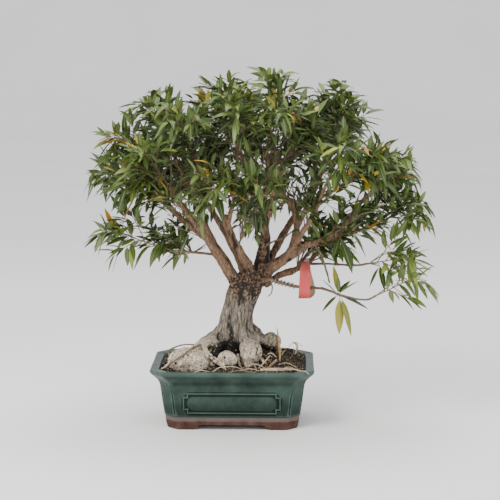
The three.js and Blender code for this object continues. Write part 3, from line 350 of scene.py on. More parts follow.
# How light a leaf is: the tones inside the crown, darkened there with painted shade, and at the surface, how
# they vary, and some fresh ones lighter still.
SHADED_AND_SURFACE_LEAF_TONES = (0.12, 0.55)
LEAF_TONE_VARIES = (-0.18, 0.3)
SURFACE_FROM = (0.55, 1.05)
FRESH_SHARE = 0.08
FRESH_TONE = 0.35
TURNED_AGE = 0.75
LEAST_HUE = 0.2
# Where the turned leaves stand, as x and height, how near to it and how far forward.
YELLOW_SPOTS = [
    (-144, 437), (-188, 432), (-100, 376), (-38, 505), (-68, 500), (87, 503), (183, 484), (194, 442),
    (215, 450), (226, 430), (215, 399), (185, 396), (196, 375), (261, 322),
]
YELLOW_REACH = 8
YELLOW_FRONT = -30
YELLOW_SPOT_SHARE = 0.35
# Leaves of the lowest branch: root, tip, tone, age and hue.
LOW_LEAVES = [
    ((162, -33, 204), (136, -46, 181), 0.3, 0, 0), ((162, -33, 204), (207, -40, 184), 0.34, 0, 0),
    ((162, -33, 205), (193, -50, 230), 0.36, 0, 0), ((161, -34, 206), (161, -44, 234), 0.2, 0, 0),
    ((160, -34, 205), (134, -28, 229), 0.42, 0, 0), ((161, -36, 201), (165, -44, 145), 0.9, 0.55, 0.1),
    ((164, -36, 202), (182, -38, 141), 0.85, 0.25, 0.1), ((162, -30, 206), (155, -20, 248), 0.8, 0.4, 0),
    ((162, -32, 205), (180, -8, 224), 0.25, 0, 0), ((270, -34, 292), (300, -44, 244), 0.85, 0.4, 0.1),
    ((258, -34, 292), (246, -42, 254), 0.75, 0.15, 0.1), ((262, -34, 236), (270, -42, 197), 0.8, 0.95, 0.9),
    ((170, -34, 288), (151, -42, 263), 0.4, 0, 0), ((170, -34, 287), (184, -44, 240), 0.34, 0, 0),
    ((239, -34, 252), (230, -44, 212), 0.3, 0, 0), ((239, -34, 246), (208, -42, 218), 0.36, 0, 0),
]
LOW_LEAF_WIDTH = 1.1
LOW_LEAF_FOLD = 12
LOW_LEAF_TURN = 30
LOW_LEAF_CURL = 0.06
LOW_DROOP = 0.12
# The stalk of a low leaf: how far it reaches, its least length, its radius along it, its sides and its tone.
LOW_STALK = 0.5
LOW_STALK_LEAST = 0.5
LOW_STALK_RADII = ((0, 0.9), (0.5, 0.8), (1, 0.6))
LOW_STALK_SIDES = 6
LOW_STALK_TONE = 0.3
WOOD_SAMPLES = (0.1, 1, 40)

# Bark and fine wood: how many sides, and how many steps between two stations.
TRUNK_SIDES = 52
TRUNK_STEPS = 4
ROOT_SIDES = 14
ROOT_STEPS = 3
STOUT_SIDES = 16
LIMB_SIDES = 9
LIMB_STEPS = 4
STRAND_SIDES = 7
STRAND_STEPS = 5
CLEAR_STEPS = 6
SWELLING_SEGMENTS = 32
SWELLING_RINGS = 20
KNOB_GIRTH = (0.88, 1.14)
KNOB_BEND = 0.16
# Ribs of the trunk: where they fade, and the number, depth and turn of the broad and the narrow ones.
RIB_END = 190
RIB_FADE = 90
RIB_LEAST = 0.15
BROAD_RIB = (5, 0.09, 0.9)
NARROW_RIB = (8, 0.05, 22)
STOUT_RADIUS = 5
ROOTED_BY = 2
CORE_STEP = 1.5
CORE_SMOOTHING = 3
CORE_SMOOTH_FACTOR = 0.5
CORE_GIRTH = 9
# Bark relief: breadth and height of a flute, size of a lump, their roughness, and their shares low down.
FLUTE_SIZE = (9, 9, 34)
FLUTE_FRACTAL = (0.9, 2.1, 4)
LUMP_SIZE = 5.2
LUMP_FRACTAL = (0.75, 2.2, 3)
LOW_RELIEF = (0.45, 0.75)
GRANULAR_HEIGHT = (112, 150)
# Hollows and dark patches of the front, dark with earth, moss and painted shade: x, height, reach across and
# up, depth and darkness.
HOLLOWS = [
    (-8, 114, 20, 15, 4, 2.4), (-3, 142, 4, 14, 2, 1.6), (50, 110, 18, 12, 2, 2.2),
    (-34, 112, 16, 9, 1.5, 1.5), (46, 150, 7, 18, 0.5, 0.9), (44, 266, 18, 40, 0.5, 1.1),
    (22, 230, 26, 16, 0.8, 1.05), (34, 198, 10, 30, 0.5, 0.9), (0, 222, 12, 14, 0.5, 0.8),
    (16, 204, 24, 16, 0.5, 0.8),
]
# Parts that stand clear of the dark earth and painted shade: how far round each it stays pale.
CLEAR_REACH = 1.22
CLEAR_FADE = 0.14
CLEAR_STRAND = 1.8
# Mottling of the dark patches: grain size, least and spread, and how it grows towards the soil.
MOTTLE_SIZE = 3.4
MOTTLE = (0.58, 1.9)
EARTH_TOP = (150, 190)
EARTH_MOTTLE = 0.75
HOLLOW_FRONT = 8
# Where the bark sinks below this, dark earth and painted shade fill its fissures, over this span.
CREVICE_FROM = -0.22
CREVICE_SPAN = 0.45
# Twigs inside the crown: how many a limb, where on it, how they open, rise, sway and thin out.
INNER_TWIGS = 12
INNER_TWIG_PLACES = (0.35, 0.97)
INNER_TWIG_OPENING = (0.4, 0.95)
INNER_TWIG_STEPS = 6
INNER_TWIG_SWAY = 0.1
INNER_TWIG_SHARE = 0.55
INNER_TWIG_RADIUS = (0.8, 1.5)
INNER_TWIG_TIP = 0.4
THICKEST_TWIG_ORIGIN = 5
INNER_TWIG_LIFT = 0.5
INNER_TWIG_OUT = 0.3
INNER_TWIG_LENGTH = (35, 85)
# Leaves on the inner twigs: how many, where along them, how long, and where the crown is bare within.
INNER_LEAVES = 8
INNER_LEAF_PLACES = (0.4, 1)
INNER_LEAF_LENGTH = (24, 38)
INNER_LEAF_OPENING = (0.5, 1.2)
INNER_BARE = (0.34, 0.6)
INNER_BARE_HEIGHT = (285, 335)
INNER_BARE_SIDE = (75, 115)
# Limbs that carry no inner twigs, because the photograph shows them open.
OPEN_LIMBS = BARE_LIMBS + ("wrapped", "level_twig", "low_left_twig")
SURFACE_ROOTS = [
    [(-50, -22, 124, 1.8), (-62, -44, 122, 1.5), (-76, -58, 114, 1.3), (-92, -60, 103, 1.1),
     (-100, -54, 94, 0.9)],
    [(-96, -34, 108, 1.6), (-98, -24, 115, 1.3), (-80, -18, 122, 1.2), (-60, -20, 124, 1)],
    [(8, -34, 112, 2), (10, -48, 103, 1.8), (14, -60, 97, 1.5), (22, -68, 92, 1.2)],
]

# Label: its closed line as y and height, half widths below and above its shoulder, how x follows the height
# and how its front half is turned.
LABEL_LOOP = [
    (29.5, 251.6), (22, 250.7), (14, 249.8), (4, 248.4), (-6, 245.6), (-15, 240), (-21, 231), (-23.6, 218),
    (-22, 205), (-15.5, 196.5), (-5, 194.3), (8, 197.5), (19, 206), (27.5, 218), (33, 231), (35.4, 246.5),
]
LABEL_STEPS = 5
LABEL_COLUMNS = (-1, -0.5, 0, 0.5, 1)
LABEL_INSET = 0.1
LABEL_THICKNESS = 0.6
LABEL_WAVE = 0.5
LABEL_WAVE_SIZE = 14
LABEL_WAVE_SPREAD = 6
LABEL_HALF_WIDTHS = (8.5, 6)
LABEL_SHOULDER = (237, 250)
LABEL_HEIGHTS = (194.3, 251.6)
LABEL_X = (109, 111.5)
LABEL_TURN = 9
LABEL_TURN_DEPTH = (-14, 14)
LABEL_TURN_HEIGHT = (200, 240)
# Wire: between which stations of its branch it is wound, and how.
WIRE_FROM = 1
WIRE_TO = 4
WIRE_TURNS = 7
WIRE_STEPS = 24
WIRE_RADIUS = 0.75
WIRE_STAND_OFF = 1.08
WIRE_SIDES = 8

# Litter
PALE_STICK = [(43, -58, 92, 2.6), (66, -59, 93, 3.1), (91, -56, 92.5, 2.3)]
BARK_CHIP = [(51, -51, 88, 1.7), (60, -45, 98, 2.1), (68, -41, 105, 1.5)]
STICK_ROUGHNESS = 0.35
STICK_GRAIN = 3.5
STICK_STEPS = 6
PALE_STICK_SIDES = 12
BARK_CHIP_SIDES = 9
DRY_LEAF_FOOT = (73, -24, 90)
DRY_LEAF_TIP = (66, -6, 154)
DRY_LEAF_WIDTH = 6
DRY_LEAF_DROOP = 0.03
DRY_LEAF_FOLD = 38
DRY_LEAF_TURN = -25
DRY_LEAF_CURL = 0.02
LITTER_LIFT = 1.2
LITTER_LEAVES = 34
LITTER_LEAF_LENGTH = (18, 36)
LITTER_LEAF_SLENDERNESS = 5
LITTER_LEAF_FOLD = (8, 40)
LITTER_LEAF_CURL = 0.12
LITTER_LEAF_TONES = (0.25, 0.8)
STRAWS = 90
STRAW_REACH = (6, 15)
STRAW_END_LIFT = 0.4
STRAW_LIFT = (0.8, 4)
STRAW_RADIUS = (0.35, 0.9)
STRAW_TONES = (0.25, 1)
STRAW_SIDES = 5
STRAW_STEPS = 3
ROOTLET_SIDES = 6
ROOTLET_STEPS = 5
# Rootlets and bits of stick as points with their radius, each with how pale it is.
ROOTLETS = [
    ([(38, -50, 91, 0.9), (48, -46, 101, 0.8), (58, -43, 112, 0.6)], 0.8),
    ([(80, -66, 96, 0.6), (92, -72, 97, 0.7), (101, -76, 96, 0.6), (112, -79, 95, 0.5),
      (116, -83, 92, 0.4)], 0.95),
    ([(-30, -66, 90, 0.5), (-20, -66, 97, 0.6), (-8, -66, 99, 0.6), (6, -64, 98, 0.5),
      (20, -62, 92, 0.4)], 0.9),
    ([(96, -12, 108, 1.4), (99, -14, 117, 1.9), (98, -12, 123, 1.6), (92, -10, 126, 0.8)], 0.62),
    ([(10, -62, 92, 0.8), (28, -66, 96, 0.9), (42, -68, 93, 0.6)], 0.7),
    ([(-6, -70, 91, 0.7), (14, -71, 94, 0.8), (36, -70, 91, 0.6)], 0.5),
    ([(22, -54, 97, 0.8), (36, -52, 100, 0.9), (50, -55, 95, 0.6)], 0.66),
    ([(70, -40, 97, 0.7), (84, -42, 100, 0.9), (98, -46, 94, 0.6)], 0.58),
    ([(74, -64, 93, 0.6), (86, -62, 98, 0.7), (100, -60, 93, 0.5)], 0.75),
    ([(86, 6, 116, 0.5), (96, 0, 124, 0.4), (108, -4, 118, 0.3)], 0.3),
    ([(-108, -52, 92, 1), (-100, -58, 98, 1.3), (-94, -50, 106, 1), (-92, -40, 112, 0.8)], 0.85),
    ([(-58, -70, 91, 0.8), (-46, -71, 94, 0.9), (-34, -70, 92, 0.6)], 0.7),
]

# Finishes. A noise is its size, detail, roughness and stretch. Stops are places and colours along a value,
# with None where a colour that the user may change goes. A layer is the values between which a colour comes
# in, how strong it gets, and the colour. A bump is its depth in metres and its strength.
GLAZE_SHINE = {"Specular IOR Level": 0.28, "IOR": 1.3}
GLAZE_CLOUD = (30, 5, 0.62)
GLAZE_FLECK = (420, 2, 0.5)
GLAZE_RUNS = (1, 3, 0.6, (150, 150, 18))
GLAZE_STOPS = [(0.3, rgb(33, 48, 42)), (0.5, None), (0.72, rgb(67, 87, 78))]
POOLED_GLAZE = ((0.06, 0.024), 0.7, rgb(16, 26, 21))
GLAZE_RUN = ((0.5, 0.72), 0.25, rgb(48, 74, 66))
GLAZE_SPECK = ((0.64, 0.74), 0.5, rgb(22, 28, 25))
# Glaze pooled in corners and hollows, darkened further with painted shade.
POOLED_AND_SHADED_CORNERS = ((0.42, 0.28), 0.8, rgb(6, 15, 14))
GLAZE_ROUGHNESS = (0.3, 0.8)
GLAZE_BUMP = (0.0012, 0.5)
FLECK_RELIEF = 0.12
# Glaze worn thin on edges, lightened further there with a painted highlight: where it sets in, how a cloud
# breaks it up, the least of it and its colour.
WORN_AND_HIGHLIGHT_SPAN = (0.58, 0.85)
WORN_AND_HIGHLIGHT_CLOUD = 0.8
WORN_AND_HIGHLIGHT_LEAST = 0.1
WORN_GLAZE_AND_HIGHLIGHT = rgb(82, 104, 98)
# The glaze ends on a line that wanders with a cloud, over clay that is paler near it.
LINE_WANDERS = 0.0022
GLAZE_LINE = (0.0218, 0.0208)
CLAY_CLOUD = (60, 6, 0.65)
CLAY_STOPS = [(0.3, rgb(58, 40, 35)), (0.52, None), (0.72, rgb(104, 78, 68))]
PALE_BAND = (0.0136, 0.0154)
PALE_BAND_LEAST = 0.25
PALE_CLAY = rgb(104, 95, 90)

BARK_SHINE = {"Roughness": 0.86}
BARK_CLOUD = (45, 6, 0.68)
BARK_GRAIN = (330, 6, 0.74, (1, 1, 0.22))
BARK_SPECK = (520, 3, 0.65)
ROOT_STOPS = [(0.37, rgb(96, 80, 62)), (0.47, None), (0.55, rgb(234, 216, 190)), (0.64, rgb(255, 250, 234))]
TRUNK_STOPS = [(0.34, rgb(42, 35, 29)), (0.45, rgb(98, 87, 74)), (0.57, None), (0.74, rgb(206, 196, 180))]
LIMB_STOPS = [(0.34, rgb(66, 47, 35)), (0.45, rgb(114, 88, 66)), (0.57, None), (0.74, rgb(188, 158, 130))]
TWIG_STOPS = [(0.34, rgb(78, 64, 50)), (0.45, rgb(112, 95, 76)), (0.57, None), (0.74, rgb(184, 166, 142))]
# The heights between which one bark gives way to the next, blurred by a cloud, and the girths for twigs.
CLIMB_BLUR = 0.05
ROOT_TO_TRUNK = (0.136, 0.166)
TRUNK_TO_LIMB = (0.208, 0.245)
LIMB_TO_TWIG = (3.4, 1.4)
# Earth and painted shade in the hollows and fissures, its colours low and high; moss and painted shade at the
# foot; spots.
EARTH_AND_SHADE_CLOUD = 0.6
EARTH_AND_SHADE_SPAN = (0.15, 0.2)
EARTH_AND_SHADE_COLOURS = (rgb(18, 14, 10), rgb(36, 26, 19))
BARK_MOSS_AND_SHADE_SPAN = (0.118, 0.094)
BARK_MOSS_AND_SHADE_CLOUD = (0.47, 0.6)
BARK_MOSS_AND_SHADE_STRENGTH = 0.75
BARK_MOSS_AND_SHADE = rgb(44, 42, 24)
BARK_SPOT = ((0.6, 0.7), 0.35, rgb(60, 50, 40))
BARK_BUMP = (0.0026, 1)
SPECK_RELIEF = 0.6

LEAF_SHINE = {"Roughness": 0.42, "Specular IOR Level": 0.35}
UNDERSIDE_SHINE = {"Roughness": 0.6, "Specular IOR Level": 0.35}
LEAF_CLOUD = (160, 3, 0.6)
LEAF_STOPS = [
    (0, rgb(30, 44, 18)), (0.35, None), (0.7, None), (0.9, rgb(112, 130, 46)), (1, rgb(146, 158, 62)),
]
LEAF_CLOUDED = 0.25
CLOUDED_LEAF = rgb(92, 108, 50)
TURNED_STOPS = [(0, rgb(176, 148, 40)), (0.5, rgb(214, 176, 44)), (1, rgb(206, 120, 40))]
PALER_BELOW = 0.35
UNDERSIDE = rgb(122, 138, 84)
MIDRIB = ((0.075, 0.02), 0.5, rgb(150, 166, 96))
STALK = ((0.14, 0.09), 1, rgb(132, 118, 62))
LEAF_BUMP = (0.0006, 0.35)
TWIG_SHINE = {"Roughness": 0.7}
TWIG_GRAIN = (380, 4, 0.65)
YOUNG_TWIG_STOPS = [(0.3, rgb(56, 42, 31)), (0.55, None), (0.78, rgb(138, 116, 88))]
YOUNG_WOOD = ((0.55, 1), 1, rgb(112, 106, 56))
TWIG_BUMP = (0.0006, 0.5)

# The label: its colours where it fades to a painted highlight, how a cloud shows, and the heights between
# which it fades.
PLASTIC_SHINE = {"Roughness": 0.42, "Specular IOR Level": 0.45}
PLASTIC_CLOUD = (90, 3, 0.5)
LABEL_OUTSIDE_HIGHLIGHT = rgb(226, 122, 110)
LABEL_INSIDE = (rgb(196, 176, 148), rgb(214, 150, 132))
LABEL_CLOUDED = 0.3
LABEL_BLUR = 0.02
LABEL_HIGHLIGHT_HEIGHTS = (0.236, 0.262)
PLASTIC_BUMP = (0.0009, 0.4)

# Crumbs and fibres: stops, roughness, size of their noise and depth of their bump.
LOOSE_NOISE = (5, 0.7)
LOOSE_CLOUDED = 0.5
LOOSE_BUMP = 0.9
LOOSE = {
    "potting_soil": ([
        (0.2, (0.006, 0.004, 0.003, 1)), (0.5, (0.02, 0.013, 0.008, 1)), (0.85, (0.06, 0.042, 0.026, 1)),
    ], 0.95, 380, 0.0016),
    "soil_crumbs": ([
        (0.1, (0.006, 0.004, 0.003, 1)), (0.45, (0.026, 0.016, 0.01, 1)), (0.75, (0.08, 0.052, 0.032, 1)),
        (0.95, (0.4, 0.31, 0.22, 1)),
    ], 0.92, 520, 0.0008),
    "dry_moss": ([
        (0.1, (0.012, 0.012, 0.005, 1)), (0.5, (0.05, 0.048, 0.018, 1)), (0.9, (0.26, 0.24, 0.1, 1)),
    ], 0.95, 300, 0.0005),
    "fine_litter": ([
        (0.1, (0.06, 0.04, 0.022, 1)), (0.5, (0.26, 0.17, 0.09, 1)), (0.9, (0.66, 0.56, 0.42, 1)),
    ], 0.88, 260, 0.0006),
}
# Finishes that follow one noise: plain values, noise, stops, bump and, where it varies, roughness.
DRY_SHINE = {"Roughness": 0.82}
DRY_STREAK = (240, 5, 0.7, (0.5, 1, 1))
DRY_BUMP = (0.0009, 0.8)
PLAIN = {
    "training_wire": (
        {"Metallic": 0.85}, (700, 4, 0.6), [(0.3, rgb(112, 108, 100)), (0.7, rgb(178, 174, 166))],
        (0.0002, 0.5), (0.3, 0.6)),
    "plastic_mesh": (
        {}, (300, 3, 0.5), [(0.3, rgb(24, 24, 24)), (0.7, rgb(48, 47, 45))], (0.0003, 0.4), (0.5, 0.75)),
    "weathered_wood": (
        DRY_SHINE, DRY_STREAK,
        [(0.3, rgb(128, 106, 84)), (0.52, rgb(186, 166, 138)), (0.74, rgb(216, 202, 178))], DRY_BUMP, None),
    "old_bark": (
        DRY_SHINE, DRY_STREAK,
        [(0.3, rgb(82, 62, 46)), (0.52, rgb(142, 118, 92)), (0.74, rgb(190, 170, 142))], DRY_BUMP, None),
    "dried_leaf": (
        DRY_SHINE, DRY_STREAK,
        [(0.3, rgb(116, 84, 50)), (0.52, rgb(172, 136, 86)), (0.74, rgb(204, 176, 126))], DRY_BUMP, None),
    "backdrop_paper": (
        {"Roughness": 0.9}, (2, 2, 0.5), [(0.3, (0.87, 0.865, 0.86, 1)), (0.7, (0.91, 0.905, 0.9, 1))],
        None, None),
}
# Sockets of a node that mixes colours: share, first and second, and what comes out.
MIX_SOCKETS = (0, 6, 7)
MIX_RESULT = 2

# Edges sharper than this many degrees stay sharp.
SMOOTH_BELOW = {
    "glazed_pot": 32, "soil_surface": 25, "ficus_wood": 60, "plastic_label": 35, "training_wire": 50,
    "weathered_stick": 40, "bark_sliver": 40, "fine_litter": 45,
}
SMOOTH_LEAF_BELOW = 48
SMOOTH_FLOOR_BELOW = 60

# Stage, in metres about the middle of the pot
FLOOR_SIZE = 13
BACKDROP_STEPS = 12
BACKDROP_CURVE = 2
BACKDROP_HEIGHT = 2
# Lights: place, size, power and colour. They aim at the middle of the tree.
LIGHT_AIM = 0.25
LIGHTS = [
    ("key_light", (-0.8, -1.2, 1.7), 0.9, 36, (1, 0.98, 0.945)),
    ("fill_light", (1.5, -1.4, 0.8), 1.3, 7, (0.98, 0.99, 1)),
    ("top_light", (0.2, 0.3, 1.8), 1.0, 13, (1, 0.99, 0.97)),
]
WORLD_COLOUR = (0.93, 0.94, 0.96, 1)
WORLD_STRENGTH = 1.28
CAMERA_PLACE = (0.0873, -2.3644, 0.6088)
CAMERA_PITCH = 0.143
CAMERA_YAW = 0.026
CAMERA_LENS = 111.7
CAMERA_SENSOR = 36
CAMERA_REACH = 20

# Random draws: a key for each kind of thing, and offsets that keep like things apart.
KEY_CROWN = 1
KEY_BEND = 2
KEY_TWIG = 4
KEY_LEAF = 5
KEY_SOIL = 6
KEY_LOOK = 8
KEY_INNER = 9
KEY_LITTER = 10
KEYS_STRAND = 500
KEYS_ROOTLET = 700
KEYS_STRAW = 800
KEYS_LOW_LEAF = 900
HASH_START = 2166136261
HASH_FACTORS = (16777619, 2246822519, 3266489917)
HASH_SHIFTS = (15, 13, 16)
WORD = 0xFFFFFFFF

UP = np.array([0.0, 0, 1])
SIDEWAYS = np.array([1.0, 0, 0])
NEARLY_UPRIGHT = 0.9
NEARLY_NOTHING = 1e-9
WELD_WITHIN = 1e-6
LAST_SHARE = 0.9999
LEAST_RADIUS = 0.3


def chance(*keys):
    """A number from 0 to 1 that depends only on whole numbers; the last ones only keep draws apart."""
    first, second, third = HASH_FACTORS
    value = HASH_START
    for key in keys:
        value = ((value ^ key) * first) & WORD
        value = ((value ^ (value >> HASH_SHIFTS[0])) * second) & WORD
    value = ((value ^ (value >> HASH_SHIFTS[1])) * third) & WORD
    return (value ^ (value >> HASH_SHIFTS[2])) / (WORD + 1)


def between(low, high, *keys):
    return low + (high - low) * chance(*keys)


def either_way(reach, *keys):
    return between(-reach, reach, *keys)


def any_turn(*keys):
    return between(0, math.tau, *keys)


def mix(low, high, share):
    return low + (high - low) * share


def smoothstep(value, low, high):
    share = min(max((value - low) / (high - low), 0), 1)
    return share * share * (3 - 2 * share)


def unit(vector):
    return vector / np.linalg.norm(vector)


def rows_to_metres(points):
    """Millimetres about the middle of the pot, to metres in the frame."""
    return np.asarray(points, dtype=float) * MM + POT_MIDDLE


def metres_to_rows(points):
    """Metres in the frame, to millimetres about the middle of the pot."""
    return (points - POT_MIDDLE) / MM


def place(x, y, z):
    return Vector(rows_to_metres([x, y, z]))


# The tree's own growth


def outline_radius(angle):
    """Distance from the middle of the crown to its outline, seen from the front."""
    middle_x, middle_z = CROWN_MIDDLE
    aim_x, aim_z = math.cos(angle), math.sin(angle)
    reach = 0
    for (x1, z1), (x2, z2) in zip(CROWN_OUTLINE, CROWN_OUTLINE[1:] + CROWN_OUTLINE[:1]):
        cross = aim_x * (z2 - z1) - aim_z * (x2 - x1)
        if abs(cross) < NEARLY_NOTHING:
            continue
        along = ((x1 - middle_x) * (z2 - z1) - (z1 - middle_z) * (x2 - x1)) / cross
        share = ((x1 - middle_x) * aim_z - (z1 - middle_z) * aim_x) / cross
        if along > 0 and 0 <= share <= 1:
            reach = max(reach, along)
    return reach


def crown_place(*keys):
    """A place for a twig tip under the crown's surface, or None where the crown is open below."""
    angle = any_turn(*keys, 1)
    side = between(-1, 1, *keys, 2)
    shrink = between(*CROWN_SHRINK, *keys, 3)
    reach = max(outline_radius(angle) * math.sqrt(1 - side * side) - LEAF_REACH, 0) * shrink
    spot = np.array([
        CROWN_MIDDLE[0] + reach * math.cos(angle),
        (CROWN_HALF_DEPTH - LEAF_REACH) * side * shrink,
        CROWN_MIDDLE[1] + reach * math.sin(angle),
    ])
    lowest = mix(*CROWN_SKIRT, smoothstep(abs(side), *CROWN_SKIRT_SIDE))
    over_limbs = abs(spot[0] - CROWN_MIDDLE[0]) < BARE_HALF_WIDTH and spot[2] < BARE_HEIGHT
    return None if spot[2] < lowest or over_limbs else spot


def crown_tips(taken):
    """Each new tip is the one of several draws that lies farthest from those before it."""
    tips = list(taken)
    for spray in range(CROWN_SPRAYS):
        best, best_gap = None, -1
        for attempt in range(TRIES_PER_SPRAY):
            spot = crown_place(KEY_CROWN, spray, attempt)
            if spot is None:
                continue
            gap = min(np.linalg.norm(tip - spot) for tip in tips)
            if gap > best_gap:
                best, best_gap = spot, gap
        tips.append(best)
    return tips[len(taken):]


def best_origin(wood, tip):
    """Where a branch to the tip leaves the wood that has grown so far: near, and without turning back."""
    best = None
    for branch in wood:
        if branch["bare"] and not branch["trunkward"]:
            continue
        stations = branch["stations"]
        for i in range(1, len(stations) - 1):
            if stations[i][3] > THICKEST_ORIGIN:
                continue
            here, ahead = stations[i][:3], stations[i + 1][:3]
            aim = unit(ahead - here)
            for share in (0, 0.5):
                start = mix(here, ahead, share)
                away = tip - start
                distance = np.linalg.norm(away)
                turn = 1 - aim.dot(away) / distance
                short = max(0, SPRAY_LENGTH + SHORTEST_BRANCH - distance)
                drop = max(0, start[2] - tip[2])
                cost = distance * (1 + TURN_COST * turn) + SHORT_COST * short + DROP_COST * drop
                if best is None or cost < best[0]:
                    best = (cost, start, aim, branch, i)
    return best


def grow_branch(wood, key, tip):
    _, start, aim, parent, index = best_origin(wood, tip)
    heading = unit(HEADING_AWAY * unit(tip - start) + HEADING_OUT * unit(tip - CROWN_ROOT) + HEADING_UP * UP)
    base = tip - heading * SPRAY_LENGTH
    reach = np.linalg.norm(base - start)
    pulls = [start, start + aim * reach * START_PULL, base - heading * reach * END_PULL, base]
    stations = []
    for i in range(BRANCH_STEPS + 1):
        t = i / BRANCH_STEPS
        weights = ((1 - t) ** 3, 3 * (1 - t) ** 2 * t, 3 * (1 - t) * t * t, t ** 3)
        point = sum(weight * pull for weight, pull in zip(weights, pulls))
        if 0 < i < BRANCH_STEPS:
            wiggles = [either_way(BRANCH_WIGGLE, KEY_BEND, key, i, k) for k in range(3)]
            point = point + reach * np.array(wiggles)
        stations.append(np.append(point, 0))
    parent["load"][index] += 1
    wood.append(branch_of(f"grown_{key}", stations, True))
    return wood[-1]["stations"]


def branch_of(name, points, grown):
    """A branch: its stations, how many others each of them carries, and whether it ends bare."""
    stations = [np.array(point, dtype=float) for point in points]
    return {
        "name": name, "stations": stations, "load": [0] * len(points), "grown": grown,
        "bare": name in BARE_LIMBS, "trunkward": name in TRUNKWARD_LIMBS,
    }


def stem_end(stations):
    """Where a stem ends, and the way it points there."""
    end = stations[-1][:3]
    return end, unit(end - stations[-2][:3])


def grow_tree():
    """The limbs and grown branches, and the spray that each ends in: its base, heading and tip."""
    wood = [branch_of(name, points, False) for name, points in LIMBS.items()]
    sprays = []
    for branch in wood:
        if not branch["bare"]:
            base, heading = stem_end(branch["stations"])
            sprays.append((base, heading, base + heading * SPRAY_LENGTH + UP * SPRAY_RISE))
    tips = crown_tips([tip for _, _, tip in sprays])
    tips.sort(key=lambda tip: np.linalg.norm(tip - CROWN_ROOT))
    for key, tip in enumerate(tips):
        base, heading = stem_end(grow_branch(wood, key, tip))
        sprays.append((base, heading, tip))
    for branch in wood:
        if branch["grown"]:
            for i, station in enumerate(branch["stations"]):
                carried = 1 + sum(branch["load"][i:])
                taper = 1 + BRANCH_TAPER * (1 - i / BRANCH_STEPS)
                station[3] = BRANCH_END_RADIUS * taper * carried ** LOAD_POWER
    return wood, sprays


def branching_from(stem, opening, roll):
    """A direction that leaves the stem's own by the angle opening, turned round it by roll."""
    side_a = unit(np.cross(stem, SIDEWAYS if abs(stem[2]) > NEARLY_UPRIGHT else UP))
    side_b = np.cross(stem, side_a)
    return math.cos(opening) * stem + math.sin(opening) * (math.cos(roll) * side_a + math.sin(roll) * side_b)


def along(stations, share):
    """A point along a stem, the way the stem runs there and its radius."""
    spot = min(share, LAST_SHARE) * (len(stations) - 1)
    step = int(spot)
    here, ahead = np.asarray(stations[step], dtype=float), np.asarray(stations[step + 1], dtype=float)
    station = mix(here, ahead, spot - step)
    return station[:3], unit(ahead[:3] - here[:3]), station[3]


def spray_twigs(spray, key):
    """The main twig of a spray, from its base to its tip, and the side twigs that leave it all round."""
    base, heading, tip = spray
    start = base + heading * CLEARANCE
    length = np.linalg.norm(tip - start)
    middle = start + heading * length / 2
    main = []
    for share in np.linspace(0, 1, MAIN_TWIG_STEPS):
        point = (1 - share) ** 2 * start + 2 * (1 - share) * share * middle + share ** 2 * tip
        main.append(np.append(point, mix(TWIG_RADIUS, TWIG_TIP_RADIUS, share)))
    coarse = main[::2]
    twigs = [main]
    for k, share in enumerate(SIDE_TWIG_STARTS):
        point, aim, _ = along(coarse, share)
        opening = between(*SIDE_TWIG_OPENING, KEY_TWIG, key, k, 1)
        side_heading = branching_from(aim, opening, TURN * k + between(0, 2, KEY_TWIG, key, 2))
        reach = mix(*SIDE_TWIG_LENGTH, share) * between(*SIDE_TWIG_VARIES, KEY_TWIG, key, k, 3)
        end = point + side_heading * reach + UP * reach * SIDE_TWIG_RISE
        bow = (point + end) / 2 + UP * reach * TWIG_BOW
        twigs.append([
            np.append(point, SIDE_TWIG_RADIUS),
            np.append(bow, mix(SIDE_TWIG_RADIUS, TWIG_TIP_RADIUS, 0.5)),
            np.append(end, TWIG_TIP_RADIUS),
        ])
    return twigs


def leaf_at(stations, slot, keys):
    """A leaf's root, direction, length, width and droop: slots wind up the outer part of the twig."""
    climb = slot / (LEAF_SLOTS - 1)
    point, aim, _ = along(stations, mix(*LEAF_PLACES, climb))
    opening = mix(*LEAF_OPENING, climb) + either_way(LEAF_OPENING_VARIES, *keys, 1)
    roll = TURN * slot + any_turn(*keys[:3], 2)
    length = between(*LEAF_LENGTH, *keys, 3) * (1 - LEAF_SHRINK * climb)
    width = length / LEAF_SLENDERNESS * between(*LEAF_WIDTH_VARIES, *keys, 4)
    return point, branching_from(aim, opening, roll), length, width, between(*LEAF_DROOP, *keys, 5)


# Making pieces


def set_mode(mode):
    bpy.ops.object.mode_set(mode=mode)


def deselect():
    if bpy.context.object and bpy.context.object.mode != "OBJECT":
        set_mode("OBJECT")
    bpy.ops.object.select_all(action="DESELECT")


def pick(obj):
    """Selects one object alone and makes it active."""
    deselect()
    obj.select_set(True)
    bpy.context.view_layer.objects.active = obj


def add_modifier(obj, kind, **settings):
    """Adds a modifier with these settings and applies it."""
    modifier = obj.modifiers.new(kind.title(), kind)
    for name, value in settings.items():
        setattr(modifier, name, value)
    pick(obj)
    bpy.ops.object.modifier_apply(modifier=modifier.name)


def recalculate_normals(obj):
    pick(obj)
    set_mode("EDIT")
    bpy.ops.mesh.select_all(action="SELECT")
    bpy.ops.mesh.remove_doubles(threshold=WELD_WITHIN)
    bpy.ops.mesh.normals_make_consistent(inside=False)
    set_mode("OBJECT")


def smooth_by_angle(obj, degrees):
    pick(obj)
    bpy.ops.object.shade_smooth_by_angle(angle=math.radians(degrees))


def mesh_object(name, points, faces):
    """A mesh from points in metres in the frame."""
    mesh = bpy.data.meshes.new(name)
    mesh.from_pydata([tuple(point) for point in points], [], [tuple(face) for face in faces])
    mesh.update()
    return link(bpy.data.objects.new(name, mesh))


def link(obj):
    bpy.context.collection.objects.link(obj)
    return obj


